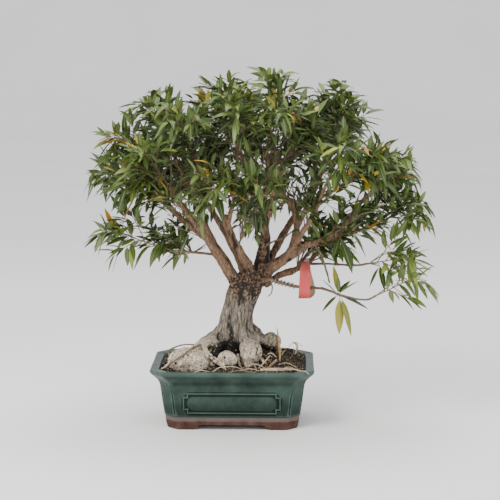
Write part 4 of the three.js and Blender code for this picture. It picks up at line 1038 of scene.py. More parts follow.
def join(objects):
    """Joins objects into the first one."""
    deselect()
    for obj in objects:
        obj.select_set(True)
    bpy.context.view_layer.objects.active = objects[0]
    bpy.ops.object.join()
    return bpy.context.object


def cut(obj, tool, operation="DIFFERENCE"):
    """Cuts or joins with a tool that is then removed."""
    add_modifier(obj, "BOOLEAN", object=tool, operation=operation, solver="EXACT")
    bpy.data.objects.remove(tool, do_unlink=True)


def finish_piece(obj, name, nodes, materials):
    """Smooths a piece, puts its place in the mesh, names it and ties it to the frame."""
    smooth_by_angle(obj, SMOOTH_BELOW.get(name, SMOOTH_LEAF_BELOW))
    bpy.ops.object.transform_apply(location=True, rotation=True, scale=True)
    obj.name = name
    obj.data.name = name
    for material in materials:
        obj.data.materials.append(material)
    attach(obj, "root")
    if nodes:
        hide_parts(*nodes)


def set_attribute(mesh, name, values, kind="FLOAT"):
    """Stores one value a vertex, for a material to read."""
    attribute = mesh.attributes.new(name, kind, "POINT")
    key = "value" if kind == "FLOAT" else "color"
    attribute.data.foreach_set(key, np.asarray(values, dtype=np.float32).ravel())


def read_vectors(items, key):
    flat = np.empty(len(items) * 3, dtype=np.float32)
    items.foreach_get(key, flat)
    return flat.reshape(-1, 3).astype(float)


def vertex_array(mesh):
    return read_vectors(mesh.vertices, "co")


def normal_array(mesh):
    return read_vectors(mesh.vertex_normals, "vector")


def store_vertices(mesh, points):
    mesh.vertices.foreach_set("co", np.asarray(points, dtype=np.float32).ravel())
    mesh.update()


def mark_wear_and_light(obj):
    """How far each vertex stands out from its neighbours, from 0 to 1, for worn glaze with painted highlights
    on edges and pooled glaze with painted shade in corners.
    """
    mesh = obj.data
    points, normals = vertex_array(mesh), normal_array(mesh)
    ends = np.empty(len(mesh.edges) * 2, dtype=np.int32)
    mesh.edges.foreach_get("vertices", ends)
    ends = ends.reshape(-1, 2)
    away = points[ends[:, 1]] - points[ends[:, 0]]
    length = np.maximum(np.linalg.norm(away, axis=1), NEARLY_NOTHING)
    bend, count = np.zeros(len(points)), np.zeros(len(points))
    for here, sign in ((0, -1), (1, 1)):
        np.add.at(bend, ends[:, here], sign * np.einsum("ij,ij->i", normals[ends[:, here]], away) / length)
        np.add.at(count, ends[:, here], 1)
    bend /= np.maximum(count, 1)
    total, number = bend.copy(), np.ones(len(points))
    for here, there in ((0, 1), (1, 0)):
        np.add.at(total, ends[:, here], bend[ends[:, there]])
        np.add.at(number, ends[:, here], 1)
    # Stored for the glaze: painted highlights on edges, painted shade in corners.
    set_attribute(mesh, "wear_and_light", np.clip(0.5 + total / number / WEAR_AND_LIGHT_REACH, 0, 1))


def ring_faces(rings, sides):
    """The faces of a closed tube of rings: its sides and both ends."""
    faces = []
    for ring in range(rings - 1):
        for i in range(sides):
            a, b = ring * sides + i, ring * sides + (i + 1) % sides
            faces.append((a, b, b + sides, a + sides))
    last = (rings - 1) * sides
    return faces + [tuple(range(sides - 1, -1, -1)), tuple(range(last, last + sides))]


def tube_mesh(stations, sides):
    """Rings about a path of x, y, z, radius in millimetres: points, faces and the radius at each point."""
    centres = np.array([station[:3] for station in stations], dtype=float)
    tangents = np.empty_like(centres)
    tangents[1:-1] = centres[2:] - centres[:-2]
    tangents[0] = centres[1] - centres[0]
    tangents[-1] = centres[-1] - centres[-2]
    tangents /= np.linalg.norm(tangents, axis=1)[:, None]
    across = unit(np.cross(SIDEWAYS if abs(tangents[0][2]) > NEARLY_UPRIGHT else UP, tangents[0]))
    angles = 2 * np.pi * np.arange(sides) / sides
    points, girths = [], []
    for centre, tangent, station in zip(centres, tangents, stations):
        across = unit(across - tangent * across.dot(tangent))
        over = np.cross(tangent, across)
        ring = np.outer(np.cos(angles), across) + np.outer(np.sin(angles), over)
        points.append(centre + station[3] * ring)
        girths += [station[3]] * sides
    return np.concatenate(points), ring_faces(len(stations), sides), girths


def curve_point(p0, p1, p2, p3, t):
    """A point between p1 and p2 on the smooth curve through all four."""
    bend, twist = 2 * p0 - 5 * p1 + 4 * p2 - p3, 3 * p1 - p0 - 3 * p2 + p3
    return 0.5 * (2 * p1 + (p2 - p0) * t + bend * t ** 2 + twist * t ** 3)


def smooth_path(stations, steps):
    """The same path on a smooth curve, with so many steps between each two of its points."""
    path = [np.asarray(station, dtype=float) for station in stations]
    path = [2 * path[0] - path[1]] + path + [2 * path[-1] - path[-2]]
    result = []
    for i in range(len(path) - 3):
        result += [curve_point(*path[i:i + 4], step / steps) for step in range(steps)]
    result.append(path[-2])
    for station in result:
        station[3:] = np.maximum(station[3:], LEAST_RADIUS)
    return result


class MeshPile:
    """Gathers many small shapes into one mesh, with a value or a colour for each point."""

    def __init__(self):
        self.points, self.faces, self.values, self.slots = [], [], [], []
        self.count = 0

    def add(self, points, faces, values, slots=0):
        """Adds a shape whose faces share one material slot or have one each."""
        self.points.append(np.asarray(points, dtype=float))
        self.faces += [tuple(index + self.count for index in face) for face in faces]
        self.values.append(np.asarray(values, dtype=float))
        self.slots += list(np.broadcast_to(slots, len(faces)))
        self.count += len(points)

    def build(self, name, attribute, kind="FLOAT"):
        obj = mesh_object(name, rows_to_metres(np.concatenate(self.points)), self.faces)
        set_attribute(obj.data, attribute, np.concatenate(self.values), kind)
        obj.data.polygons.foreach_set("material_index", np.array(self.slots, dtype=np.int32))
        return obj


# Making materials


class Finish:
    """A material, built up value by value in its node tree."""

    def __init__(self, name, shine):
        self.material = bpy.data.materials.new(name)
        self.material.use_nodes = True
        self.tree = self.material.node_tree
        self.shader = self.tree.nodes["Principled BSDF"]
        self.feed(self.shader, shine)
        self.place = self.node("TexCoord", {}).outputs["Object"]

    def feed(self, node, inputs):
        for name, value in inputs.items():
            if isinstance(value, bpy.types.NodeSocket):
                self.tree.links.new(value, node.inputs[name])
            else:
                node.inputs[name].default_value = value

    def node(self, kind, inputs, **settings):
        node = self.tree.nodes.new("ShaderNode" + kind)
        for name, value in settings.items():
            setattr(node, name, value)
        self.feed(node, inputs)
        return node

    def noise(self, size, detail, roughness, stretch=(1, 1, 1)):
        vector = self.node("Mapping", {"Vector": self.place, "Scale": stretch}).outputs["Vector"]
        inputs = {"Vector": vector, "Scale": size, "Detail": detail, "Roughness": roughness}
        return self.node("TexNoise", inputs).outputs["Fac"]

    def height(self):
        return self.node("SeparateXYZ", {"Vector": self.place}).outputs["Z"]

    def attribute(self, name):
        return self.node("Attribute", {}, attribute_name=name).outputs["Fac"]

    def channels(self, name):
        """The four values that a colour attribute holds."""
        facts = self.node("Attribute", {}, attribute_name=name).outputs
        split = self.node("SeparateColor", {"Color": facts["Color"]}).outputs
        return split["Red"], split["Green"], split["Blue"], facts["Alpha"]

    def maths(self, operation, first, second=0, clamp=False):
        return self.node("Math", {0: first, 1: second}, operation=operation, use_clamp=clamp).outputs[0]

    def plus(self, first, second):
        return self.maths("ADD", first, second)

    def times(self, first, second, clamp=False):
        return self.maths("MULTIPLY", first, second, clamp)

    def step(self, value, low, high):
        """0 at low, 1 at high, eased between them."""
        inputs = {"Value": value, "From Min": low, "From Max": high}
        return self.node("MapRange", inputs, interpolation_type="SMOOTHSTEP").outputs["Result"]

    def spread(self, value, low, high):
        """From low to high as a value goes from 0 to 1."""
        return self.node("MapRange", {"Value": value, "To Min": low, "To Max": high}).outputs["Result"]

    def mixed(self, share, first, second):
        node = self.node("Mix", {}, data_type="RGBA")
        self.feed(node, dict(zip(MIX_SOCKETS, (share, first, second))))
        return node.outputs[MIX_RESULT]

    def layer(self, base, value, span, strength, colour):
        return self.mixed(self.times(self.step(value, *span), strength), base, colour)

    def ramp(self, value, stops, *chosen):
        """Colours along a value. Those chosen by the user fill the stops that have none."""
        node = self.node("ValToRGB", {"Fac": value})
        elements = node.color_ramp.elements
        while len(elements) < len(stops):
            elements.new(0.5)
        fill = iter(chosen)
        for element, (position, colour) in zip(elements, stops):
            element.position = position
            element.color = colour or (*next(fill), 1)
        return node.outputs["Color"]

    def done(self, colour, relief=None, bump=None, roughness=None):
        """Feeds the shader and hands over the material."""
        self.feed(self.shader, {"Base Color": colour})
        if bump is not None:
            inputs = {"Height": relief, "Distance": bump[0], "Strength": bump[1]}
            self.feed(self.shader, {"Normal": self.node("Bump", inputs).outputs["Normal"]})
        if roughness is not None:
            self.feed(self.shader, {"Roughness": roughness})
        return self.material


def glaze_material(look):
    """Dark teal glaze that pools in corners and thins on edges, over bare clay at the foot; painted shade
    darkens the corners and painted highlights lighten the edges.
    """
    finish = Finish("glazed_clay", GLAZE_SHINE)
    height, wear_and_light = finish.height(), finish.attribute("wear_and_light")
    cloud, fleck = finish.noise(*GLAZE_CLOUD), finish.noise(*GLAZE_FLECK)
    glaze = finish.ramp(cloud, GLAZE_STOPS, look.glaze)
    glaze = finish.layer(glaze, height, *POOLED_GLAZE)
    glaze = finish.layer(glaze, finish.noise(*GLAZE_RUNS), *GLAZE_RUN)
    glaze = finish.layer(glaze, fleck, *GLAZE_SPECK)
    # Edges lighten: glaze worn thin, plus a painted highlight.
    broken = finish.plus(finish.times(cloud, WORN_AND_HIGHLIGHT_CLOUD), WORN_AND_HIGHLIGHT_LEAST)
    glaze = finish.mixed(finish.times(finish.step(wear_and_light, *WORN_AND_HIGHLIGHT_SPAN), broken), glaze, WORN_GLAZE_AND_HIGHLIGHT)
    # Corners and hollows darken: pooled glaze, plus painted shade.
    glaze = finish.layer(glaze, wear_and_light, *POOLED_AND_SHADED_CORNERS)
    line = finish.plus(height, finish.times(cloud, LINE_WANDERS))
    clay = finish.ramp(finish.noise(*CLAY_CLOUD), CLAY_STOPS, look.clay)
    band = finish.times(finish.step(line, *PALE_BAND), finish.plus(cloud, PALE_BAND_LEAST))
    bare = finish.maths("MAXIMUM", finish.step(line, *GLAZE_LINE), finish.attribute("inner"))
    colour = finish.mixed(bare, glaze, finish.mixed(band, clay, PALE_CLAY))
    relief = finish.plus(cloud, finish.times(fleck, FLECK_RELIEF))
    return finish.done(colour, relief, GLAZE_BUMP, finish.spread(bare, *GLAZE_ROUGHNESS))


def bark_material(look):
    """Pale granular roots, a grey fissured trunk, tan limbs and dull fine twigs; dark earth and painted shade
    in the hollows, moss and painted shade at the foot.
    """
    finish = Finish("bark", BARK_SHINE)
    height, girth, earth_and_shade = finish.height(), finish.attribute("girth"), finish.attribute("earth_and_shade")
    cloud, grain, speck = (finish.noise(*kind) for kind in (BARK_CLOUD, BARK_GRAIN, BARK_SPECK))
    climb = finish.plus(height, finish.times(cloud, CLIMB_BLUR))
    colour = finish.ramp(speck, ROOT_STOPS, look.root_bark)
    for value, span, stops, chosen in (
        (climb, ROOT_TO_TRUNK, TRUNK_STOPS, look.trunk_bark),
        (climb, TRUNK_TO_LIMB, LIMB_STOPS, look.limb_bark),
        (girth, LIMB_TO_TWIG, TWIG_STOPS, look.twig_bark),
    ):
        colour = finish.mixed(finish.step(value, *span), colour, finish.ramp(grain, stops, chosen))
    # Dark earth and painted shade in the hollows and fissures.
    dark = finish.times(earth_and_shade, finish.plus(cloud, EARTH_AND_SHADE_CLOUD), clamp=True)
    colour = finish.mixed(dark, colour, finish.mixed(finish.step(height, *EARTH_AND_SHADE_SPAN), *EARTH_AND_SHADE_COLOURS))
    # Moss and painted shade at the foot of the roots, where they meet the soil.
    moss_and_shade = finish.times(finish.step(height, *BARK_MOSS_AND_SHADE_SPAN), finish.step(cloud, *BARK_MOSS_AND_SHADE_CLOUD))
    colour = finish.mixed(finish.times(moss_and_shade, BARK_MOSS_AND_SHADE_STRENGTH), colour, BARK_MOSS_AND_SHADE)
    colour = finish.layer(colour, speck, *BARK_SPOT)
    return finish.done(colour, finish.plus(grain, finish.times(speck, SPECK_RELIEF)), BARK_BUMP)


def leaf_material(name, look, under):
    """Leathery green leaf with a paler midrib; a few have turned yellow."""
    finish = Finish(name, UNDERSIDE_SHINE if under else LEAF_SHINE)
    shade, age, run, across = finish.channels("leaf")
    cloud = finish.noise(*LEAF_CLOUD)
    colour = finish.ramp(shade, LEAF_STOPS, look.dark_leaf, look.mid_leaf)
    colour = finish.mixed(finish.times(cloud, LEAF_CLOUDED), colour, CLOUDED_LEAF)
    colour = finish.mixed(age, colour, finish.ramp(run, TURNED_STOPS))
    if under:
        colour = finish.mixed(PALER_BELOW, colour, UNDERSIDE)
    off_middle = finish.maths("ABSOLUTE", finish.maths("SUBTRACT", across, 0.5))
    colour = finish.layer(colour, off_middle, *MIDRIB)
    return finish.done(finish.layer(colour, run, *STALK), cloud, LEAF_BUMP)


def twig_material(look):
    """Fine leafy twigs: brown below, green brown towards the tip."""
    finish = Finish("young_twig", TWIG_SHINE)
    _, _, run, _ = finish.channels("leaf")
    grain = finish.noise(*TWIG_GRAIN)
    wood = finish.ramp(grain, YOUNG_TWIG_STOPS, look.twig_bark)
    return finish.done(finish.layer(wood, run, *YOUNG_WOOD), grain, TWIG_BUMP)


def loose_material(name):
    """Crumbs of soil, moss or fibre: each crumb has its own tone."""
    stops, roughness, size, depth = LOOSE[name]
    finish = Finish(name, {"Roughness": roughness})
    cloud = finish.noise(size, *LOOSE_NOISE)
    clouded = finish.times(finish.maths("SUBTRACT", cloud, 0.5), LOOSE_CLOUDED)
    colour = finish.ramp(finish.plus(finish.attribute("grain"), clouded), stops)
    return finish.done(colour, cloud, (depth, LOOSE_BUMP))


def plastic_material(name, colour, light):
    """Soft plastic tape, fading to a lighter tone at the top, a painted highlight."""
    finish = Finish(name, PLASTIC_SHINE)
    cloud = finish.noise(*PLASTIC_CLOUD)
    climb = finish.plus(finish.height(), finish.times(cloud, LABEL_BLUR))
    base = finish.mixed(finish.times(cloud, LABEL_CLOUDED), colour, light)
    # Painted highlight: lighter towards the top of the band.
    return finish.done(finish.mixed(finish.step(climb, *LABEL_HIGHLIGHT_HEIGHTS), base, light), cloud, PLASTIC_BUMP)


def plain_material(name):
    """A finish whose colour, relief and roughness follow one noise."""
    shine, kind, stops, bump, roughness = PLAIN[name]
    finish = Finish(name, shine)
    cloud = finish.noise(*kind)
    varied = finish.spread(cloud, *roughness) if roughness else None
    return finish.done(finish.ramp(cloud, stops), cloud, bump, varied)


# What a user may change


class FicusLook(bpy.types.PropertyGroup):
    glaze: bpy.props.FloatVectorProperty(
        name="Glaze", description="Main colour of the pot's glaze",
        subtype="COLOR", default=rgb(51, 68, 60)[:3])
    clay: bpy.props.FloatVectorProperty(
        name="Bare clay", description="Colour of the unglazed feet",
        subtype="COLOR", default=rgb(80, 56, 48)[:3])
    root_bark: bpy.props.FloatVectorProperty(
        name="Root bark", description="Bark of the roots",
        subtype="COLOR", default=rgb(207, 187, 160)[:3])
    trunk_bark: bpy.props.FloatVectorProperty(
        name="Trunk bark", description="Bark of the trunk",
        subtype="COLOR", default=rgb(146, 135, 120)[:3])
    limb_bark: bpy.props.FloatVectorProperty(
        name="Limb bark", description="Bark of the limbs",
        subtype="COLOR", default=rgb(146, 114, 87)[:3])
    twig_bark: bpy.props.FloatVectorProperty(
        name="Twig bark", description="Bark of the fine twigs",
        subtype="COLOR", default=rgb(128, 108, 86)[:3])
    dark_leaf: bpy.props.FloatVectorProperty(
        name="Dark leaf", description="Leaves in the shade",
        subtype="COLOR", default=rgb(49, 68, 28)[:3])
    mid_leaf: bpy.props.FloatVectorProperty(
        name="Leaf", description="Most of the leaves",
        subtype="COLOR", default=rgb(88, 106, 40)[:3])
    label: bpy.props.FloatVectorProperty(
        name="Label", description="Colour of the plastic label",
        subtype="COLOR", default=rgb(206, 66, 68)[:3])


class FicusSizes(bpy.types.PropertyGroup):
    edge_round: bpy.props.FloatProperty(
        name="Pot edge", description="Rounding of the pot's corners", default=0.0015, min=0.0005, max=0.003,
        unit="LENGTH", subtype="DISTANCE")
    bark_relief: bpy.props.FloatProperty(
        name="Bark relief", description="Depth of the fissures in the bark", default=0.0016, min=0, max=0.003,
        unit="LENGTH", subtype="DISTANCE")
    leaf_scale: bpy.props.FloatProperty(
        name="Leaf length", description="Leaf length as a share of the usual one", default=0.94,
        min=0.8, max=1.05, subtype="FACTOR")
    leaf_fold: bpy.props.FloatProperty(
        name="Leaf fold", description="How far each half of a leaf folds up", default=math.radians(16),
        min=0, max=math.radians(50), unit="ROTATION", subtype="ANGLE")
    soil_grains: bpy.props.IntProperty(
        name="Soil grains", description="Number of crumbs on the soil", default=2300, min=200, max=4000)
    yellow_share: bpy.props.FloatProperty(
        name="Yellow leaves", description="Share of the leaves that have turned", default=0.02,
        min=0, max=0.3, subtype="FACTOR")


# Pot


def octagon_plane(height, inset):
    """A plane with cut corners that stands in from the rim, left in edit mode with all of it selected."""
    deselect()
    bpy.ops.mesh.primitive_plane_add(size=1, location=tuple(POT_MIDDLE + UP * height * MM))
    obj = bpy.context.object
    obj.scale = (*(2 * (POT_HALF - inset) * MM), 1)
    bpy.ops.object.transform_apply(location=True, rotation=False, scale=True)
    set_mode("EDIT")
    bpy.ops.mesh.select_all(action="SELECT")
    corner = (CORNER_CUT - inset * CORNER_CUT_SLOPE) * MM
    bpy.ops.mesh.bevel(offset=corner, affect="VERTICES")
    return obj


def extrude_levels(levels, height, inset):
    """Extrudes what is selected through levels of height and inset."""
    for level, new_inset in levels:
        bpy.ops.mesh.extrude_region_move(TRANSFORM_OT_translate={"value": (0, 0, (level - height) * MM)})
        grow = (POT_HALF - new_inset) / (POT_HALF - inset)
        bpy.ops.transform.resize(value=(grow[0], grow[1], 1), center_override=tuple(POT_MIDDLE))
        height, inset = level, new_inset


def select_corner_edges(mesh):
    """Selects the edges that run from one level to the next."""
    for item in (mesh.vertices, mesh.polygons):
        item.foreach_set("select", [False] * len(item))
    points = vertex_array(mesh)
    for edge in mesh.edges:
        first, second = points[list(edge.vertices)]
        edge.select = bool(abs(first[2] - second[2]) > LEAST_LEVEL * MM)


def slice_across(axis, step, reach):
    """Cuts what is in edit mode by planes across one axis, so that it can be shaped finely."""
    normal = np.eye(3)[axis]
    for k in range(-int(reach / step), int(reach / step) + 1):
        bpy.ops.mesh.select_all(action="SELECT")
        bpy.ops.mesh.bisect(plane_co=tuple(POT_MIDDLE + normal * k * step * MM), plane_no=tuple(normal))


def pot_body(edge_round):
    """The outside, the lip and the inside of the pot as one closed skin."""
    body = octagon_plane(*POT_PROFILE[0])
    extrude_levels(POT_PROFILE[1:] + POT_LIP + POT_INSIDE, *POT_PROFILE[0])
    recalculate_normals(body)
    bpy.context.tool_settings.mesh_select_mode = (False, True, False)
    select_corner_edges(body.data)
    set_mode("EDIT")
    bpy.ops.mesh.bevel(offset=edge_round, segments=POT_EDGE_STEPS, affect="EDGES")
    set_mode("OBJECT")
    return body


def work_surface(pot):
    """Makes the walls a little uneven, as pressed clay is, and sinks the grooves down the corner edges."""
    pick(pot)
    set_mode("EDIT")
    for axis, reach in enumerate((*POT_HALF, POT_TALL)):
        slice_across(axis, POT_SLICE, reach)
    set_mode("OBJECT")
    points, normals = vertex_array(pot.data), normal_array(pot.data)
    for i, point in enumerate(points):
        push = POT_UNEVEN * noise.noise(Vector(point / (POT_UNEVEN_SIZE * MM))) - groove_depth(point)
        points[i] += normals[i] * push * MM * smoothstep(point[2] / MM, *PUSH_FROM)
    store_vertices(pot.data, points)


def groove_depth(point):
    """Depth of the groove that runs down each corner edge of the wall, at a point in metres."""
    x, y, height = np.abs(point - POT_MIDDLE) / MM
    inset = wall_inset(height)
    cut_back = CORNER_CUT - inset * CORNER_CUT_SLOPE
    half_x, half_y = POT_HALF - inset
    away = min(math.hypot(x - half_x + cut_back, y - half_y), math.hypot(x - half_x, y - half_y + cut_back))
    low, low_end, high_end, high = GROOVE_HEIGHTS
    share = smoothstep(height, low, low_end) * (1 - smoothstep(height, high_end, high))
    return GROOVE_DEPTH * share if away < GROOVE_REACH else 0


def tapered_box(half_x, half_y, low, high, spread):
    """A box about the pot's middle whose bottom is spread wider than its top."""
    deselect()
    bpy.ops.mesh.primitive_cube_add(size=1, location=tuple(POT_MIDDLE + UP * (low + high) / 2 * MM))
    box = bpy.context.object
    box.scale = tuple(np.array([2 * half_x, 2 * half_y, high - low]) * MM)
    bpy.ops.object.transform_apply(location=True, rotation=False, scale=True)
    bpy.context.tool_settings.mesh_select_mode = (False, False, True)
    set_mode("EDIT")
    bpy.ops.mesh.select_all(action="DESELECT")
    set_mode("OBJECT")
    for polygon in box.data.polygons:
        polygon.select = polygon.normal.z < -NEARLY_UPRIGHT
    set_mode("EDIT")
    bpy.ops.transform.resize(
        value=((half_x + spread) / half_x, (half_y + spread) / half_y, 1), center_override=tuple(POT_MIDDLE))
    set_mode("OBJECT")
    return box


def pot_feet():
    """A low wall under the pot's edge, hollow inside and open along each side, so that four feet stay."""
    feet = octagon_plane(*FOOT_OUTLINE[0])
    extrude_levels(FOOT_OUTLINE[1:], *FOOT_OUTLINE[0])
    recalculate_normals(feet)
    inner_inset = FOOT_OUTLINE[0][1] + FOOT_THICKNESS
    inner = octagon_plane(-FOOT_HEIGHT, inner_inset)
    extrude_levels([(FOOT_BOX_TOP, inner_inset)], -FOOT_HEIGHT, inner_inset)
    recalculate_normals(inner)
    cut(feet, inner)
    beyond = 2 * POT_HALF[0]
    for half_x, half_y in ((FOOT_GAP_X, beyond), (beyond, FOOT_GAP_Y)):
        cut(feet, tapered_box(half_x, half_y, -FOOT_HEIGHT, FOOT_BOX_TOP, FOOT_SPREAD))
    add_modifier(feet, "BEVEL", width=FOOT_ROUND * MM, segments=FOOT_ROUND_STEPS, limit_method="ANGLE")
    return feet


def wall_inset(height):
    heights = [level for level, _ in POT_PROFILE]
    return np.interp(height, heights, [inset for _, inset in POT_PROFILE])


def panel_rib(side):
    """The raised frame of a long side: a round rib with notched corners, half sunk in the wall."""
    x, low, high, notch = PANEL_HALF_WIDTH, PANEL_BOTTOM, PANEL_TOP, PANEL_NOTCH
    quarter = [(x - notch, low), (x - notch, low + notch), (x, low + notch),
               (x, high - notch), (x - notch, high - notch), (x - notch, high)]
    outline = quarter + [(-px, pz) for px, pz in reversed(quarter)]
    curve = bpy.data.curves.new("panel_rib", "CURVE")
    curve.dimensions = "3D"
    curve.bevel_depth = PANEL_RIB_RADIUS * MM
    curve.bevel_resolution = PANEL_RIB_STEPS
    line = curve.splines.new("POLY")
    line.points.add(len(outline) - 1)
    line.use_cyclic_u = True
    for point, (px, pz) in zip(line.points, outline):
        point.co = (*place(px, side * (POT_HALF[1] - wall_inset(pz) - PANEL_SUNK), pz), 1)
    pick(link(bpy.data.objects.new("panel_rib", curve)))
    bpy.ops.object.convert(target="MESH")
    rib = bpy.context.object
    recalculate_normals(rib)
    return rib


def drain_tool(x):
    deselect()
    bpy.ops.mesh.primitive_cylinder_add(
        vertices=DRAIN_SIDES, radius=DRAIN_RADIUS * MM, depth=2 * FLOOR_TOP * MM,
        location=place(x, 0, FLOOR_TOP))
    return bpy.context.object


def mark_inside(mesh):
    """1 on the inside of the pot, below its lip, where the clay is bare."""
    points = metres_to_rows(vertex_array(mesh))
    straight = POT_HALF - np.abs(points[:, :2])
    slanted = (POT_HALF.sum() - CORNER_CUT - np.abs(points[:, :2]).sum(axis=1)) / (2 - CORNER_CUT_SLOPE)
    inset = np.minimum(straight.min(axis=1), slanted)
    inside = inset > np.array([wall_inset(height) for height in points[:, 2]]) + BARE_WALL
    set_attribute(mesh, "inner", (inside & (points[:, 2] < BARE_BELOW)).astype(float))


def build_pot(sizes, look):
    pot = pot_body(sizes.edge_round)
    cut(pot, pot_feet(), "UNION")
    for side in (-1, 1):
        cut(pot, panel_rib(side), "UNION")
    for side in (-1, 1):
        cut(pot, drain_tool(side * DRAIN_X))
    recalculate_normals(pot)
    work_surface(pot)
    mark_wear_and_light(pot)
    mark_inside(pot.data)
    finish_piece(pot, "glazed_pot", ["pot"], [glaze_material(look)])


# Soil


def soil_height(x, y):
    """Height of the soil in millimetres at a place about the pot's middle."""
    height = SOIL_LEVEL
    for mound_x, mound_y, rise, reach in SOIL_MOUNDS:
        away = math.hypot(x - mound_x, y - mound_y) / reach
        height += rise * math.exp(-away * away)
    uneven = noise.fractal(Vector((x, y, SOIL_UNEVEN_LAYER)) / SOIL_UNEVEN_SIZE, *SOIL_FRACTAL)
    return height + SOIL_UNEVEN * uneven


def soil_body():
    """A fine grid cut to the pot's inside, shaped and drawn down to its floor."""
    deselect()
    bpy.ops.mesh.primitive_grid_add(
        x_subdivisions=SOIL_COLUMNS, y_subdivisions=SOIL_ROWS, size=1, location=tuple(POT_MIDDLE))
    soil = bpy.context.object
    half_x, half_y = POT_HALF - SOIL_INSET
    soil.scale = (2 * half_x * MM, 2 * half_y * MM, 1)
    bpy.ops.object.transform_apply(location=True, rotation=False, scale=True)
    set_mode("EDIT")
    corner = half_x - CORNER_CUT + SOIL_INSET * CORNER_CUT_SLOPE
    for x, y in ((-1, -1), (-1, 1), (1, -1), (1, 1)):
        bpy.ops.mesh.select_all(action="SELECT")
        bpy.ops.mesh.bisect(plane_co=place(x * corner, y * half_y, 0), plane_no=(x, y, 0), clear_outer=True)
    set_mode("OBJECT")
    points = vertex_array(soil.data)
    points[:, 2] = [soil_height(x, y) * MM for x, y, _ in metres_to_rows(points)]
    store_vertices(soil.data, points)
    set_mode("EDIT")
    bpy.ops.mesh.select_mode(type="EDGE")
    bpy.ops.mesh.select_all(action="DESELECT")
    bpy.ops.mesh.select_non_manifold()
    inset = SOIL_INSET
    for height, new_inset in SOIL_WALLS:
        bpy.ops.mesh.extrude_region_move(TRANSFORM_OT_translate={"value": (0, 0, -MM)})
        grow = (POT_HALF - new_inset) / (POT_HALF - inset)
        bpy.ops.transform.resize(
            value=(grow[0], grow[1], 0), center_override=tuple(POT_MIDDLE + UP * height * MM))
        inset = new_inset
    bpy.ops.mesh.edge_face_add()
    recalculate_normals(soil)
    set_mode("EDIT")
    bpy.ops.mesh.select_all(action="SELECT")
    bpy.ops.mesh.quads_convert_to_tris()
    set_mode("OBJECT")
    return soil


def template(kind, **settings):
    """The points and faces of a primitive, which is then removed."""
    deselect()
    getattr(bpy.ops.mesh, kind)(location=(0, 0, 0), **settings)
    obj = bpy.context.object
    points = vertex_array(obj.data)
    faces = [tuple(polygon.vertices) for polygon in obj.data.polygons]
    bpy.data.objects.remove(obj, do_unlink=True)
    return points, faces


def turned(points, *keys):
    """Points turned every which way."""
    angles = [any_turn(*keys, k) for k in range(3)]
    for axis, angle in enumerate(angles):
        first, second = [k for k in range(3) if k != axis]
        turn = np.eye(3)
        turn[first, first] = turn[second, second] = math.cos(angle)
        turn[first, second], turn[second, first] = -math.sin(angle), math.sin(angle)
        points = points @ turn
    return points


def on_soil(*keys):
    """A place on the soil inside the pot, in millimetres, or None in a cut corner."""
    half = POT_HALF - SOIL_INSET - GRAIN_MARGIN
    x = between(-half[0], half[0], *keys, 1)
    y = between(-half[1], half[1], *keys, 2)
    if abs(x) + abs(y) > half.sum() - CORNER_CUT:
        return None
    return np.array([x, y, soil_height(x, y)])


def chunky_share(x, y):
    """1 in the corner where coarse crumbs lie, 0 elsewhere."""
    away = math.hypot(x - CHUNKY_MIDDLE[0], y - CHUNKY_MIDDLE[1])
    return 1 - smoothstep(away, *CHUNKY_REACH)


def mossy_share(x, y):
    """How mossy the soil is at a place, from 0 to 1."""
    ridge = math.exp(-(math.hypot(x - MOSS_MIDDLE[0], y - MOSS_MIDDLE[1]) / MOSS_REACH) ** 2)
    patchy = noise.noise(Vector((x, y, MOSS_PATCH_LAYER)) / MOSS_PATCH) * 0.5 + 0.5
    return min(max(ridge + patchy * MOSS_PATCHY - chunky_share(x, y), 0), 1)


def crumb_pile(count):
    """Angular crumbs of soil and tufts of moss, half sunk in the surface."""
    pile = MeshPile()
    points, faces = template("primitive_ico_sphere_add", subdivisions=1, radius=1)
    for k in range(count):
        spot = on_soil(KEY_SOIL, k)
        if spot is None:
            continue
        coarse = chunky_share(spot[0], spot[1])
        size = mix(between(*FINE_GRAIN, KEY_SOIL, k, 3), between(*COARSE_GRAIN, KEY_SOIL, k, 3), coarse)
        corners = np.array([[between(*GRAIN_CORNERS, KEY_SOIL, k, 20 + i)] for i in range(len(points))])
        flat = np.array([1, between(*GRAIN_DEPTH, KEY_SOIL, k, 4), between(*GRAIN_HEIGHT, KEY_SOIL, k, 5)])
        crumb = turned(points * corners * flat, KEY_SOIL, k, 6) * size
        tone = between(*GRAIN_TONES, KEY_SOIL, k, 9)
        pile.add(crumb + spot + UP * size * GRAIN_LIFT, faces, [tone] * len(points), 1)
    add_moss(pile)
    return pile


def add_moss(pile):
    """Tufts of short blades where the soil is mossy."""
    for k in range(MOSS_TUFTS):
        spot = on_soil(KEY_SOIL, k, 77)
        if spot is None or chance(KEY_SOIL, k, 78) > mossy_share(spot[0], spot[1]):
            continue
        for blade in range(MOSS_BLADES):
            keys = (KEY_SOIL, k, 80 + blade)
            lean = np.array([either_way(MOSS_LEAN, *keys, 1), either_way(MOSS_LEAN, *keys, 2), 1])
            offset = np.array([either_way(MOSS_SPREAD, *keys, 3), either_way(MOSS_SPREAD, *keys, 4), -1])
            root = spot + offset
            top = root + lean * between(*MOSS_LENGTH, *keys, 5)
            stations = [(*mix(root, top, share), radius) for share, radius in MOSS_BLADE]
            points, faces, _ = tube_mesh(stations, MOSS_BLADE_SIDES)
            pile.add(points, faces, [chance(*keys, 6)] * len(points), 2)


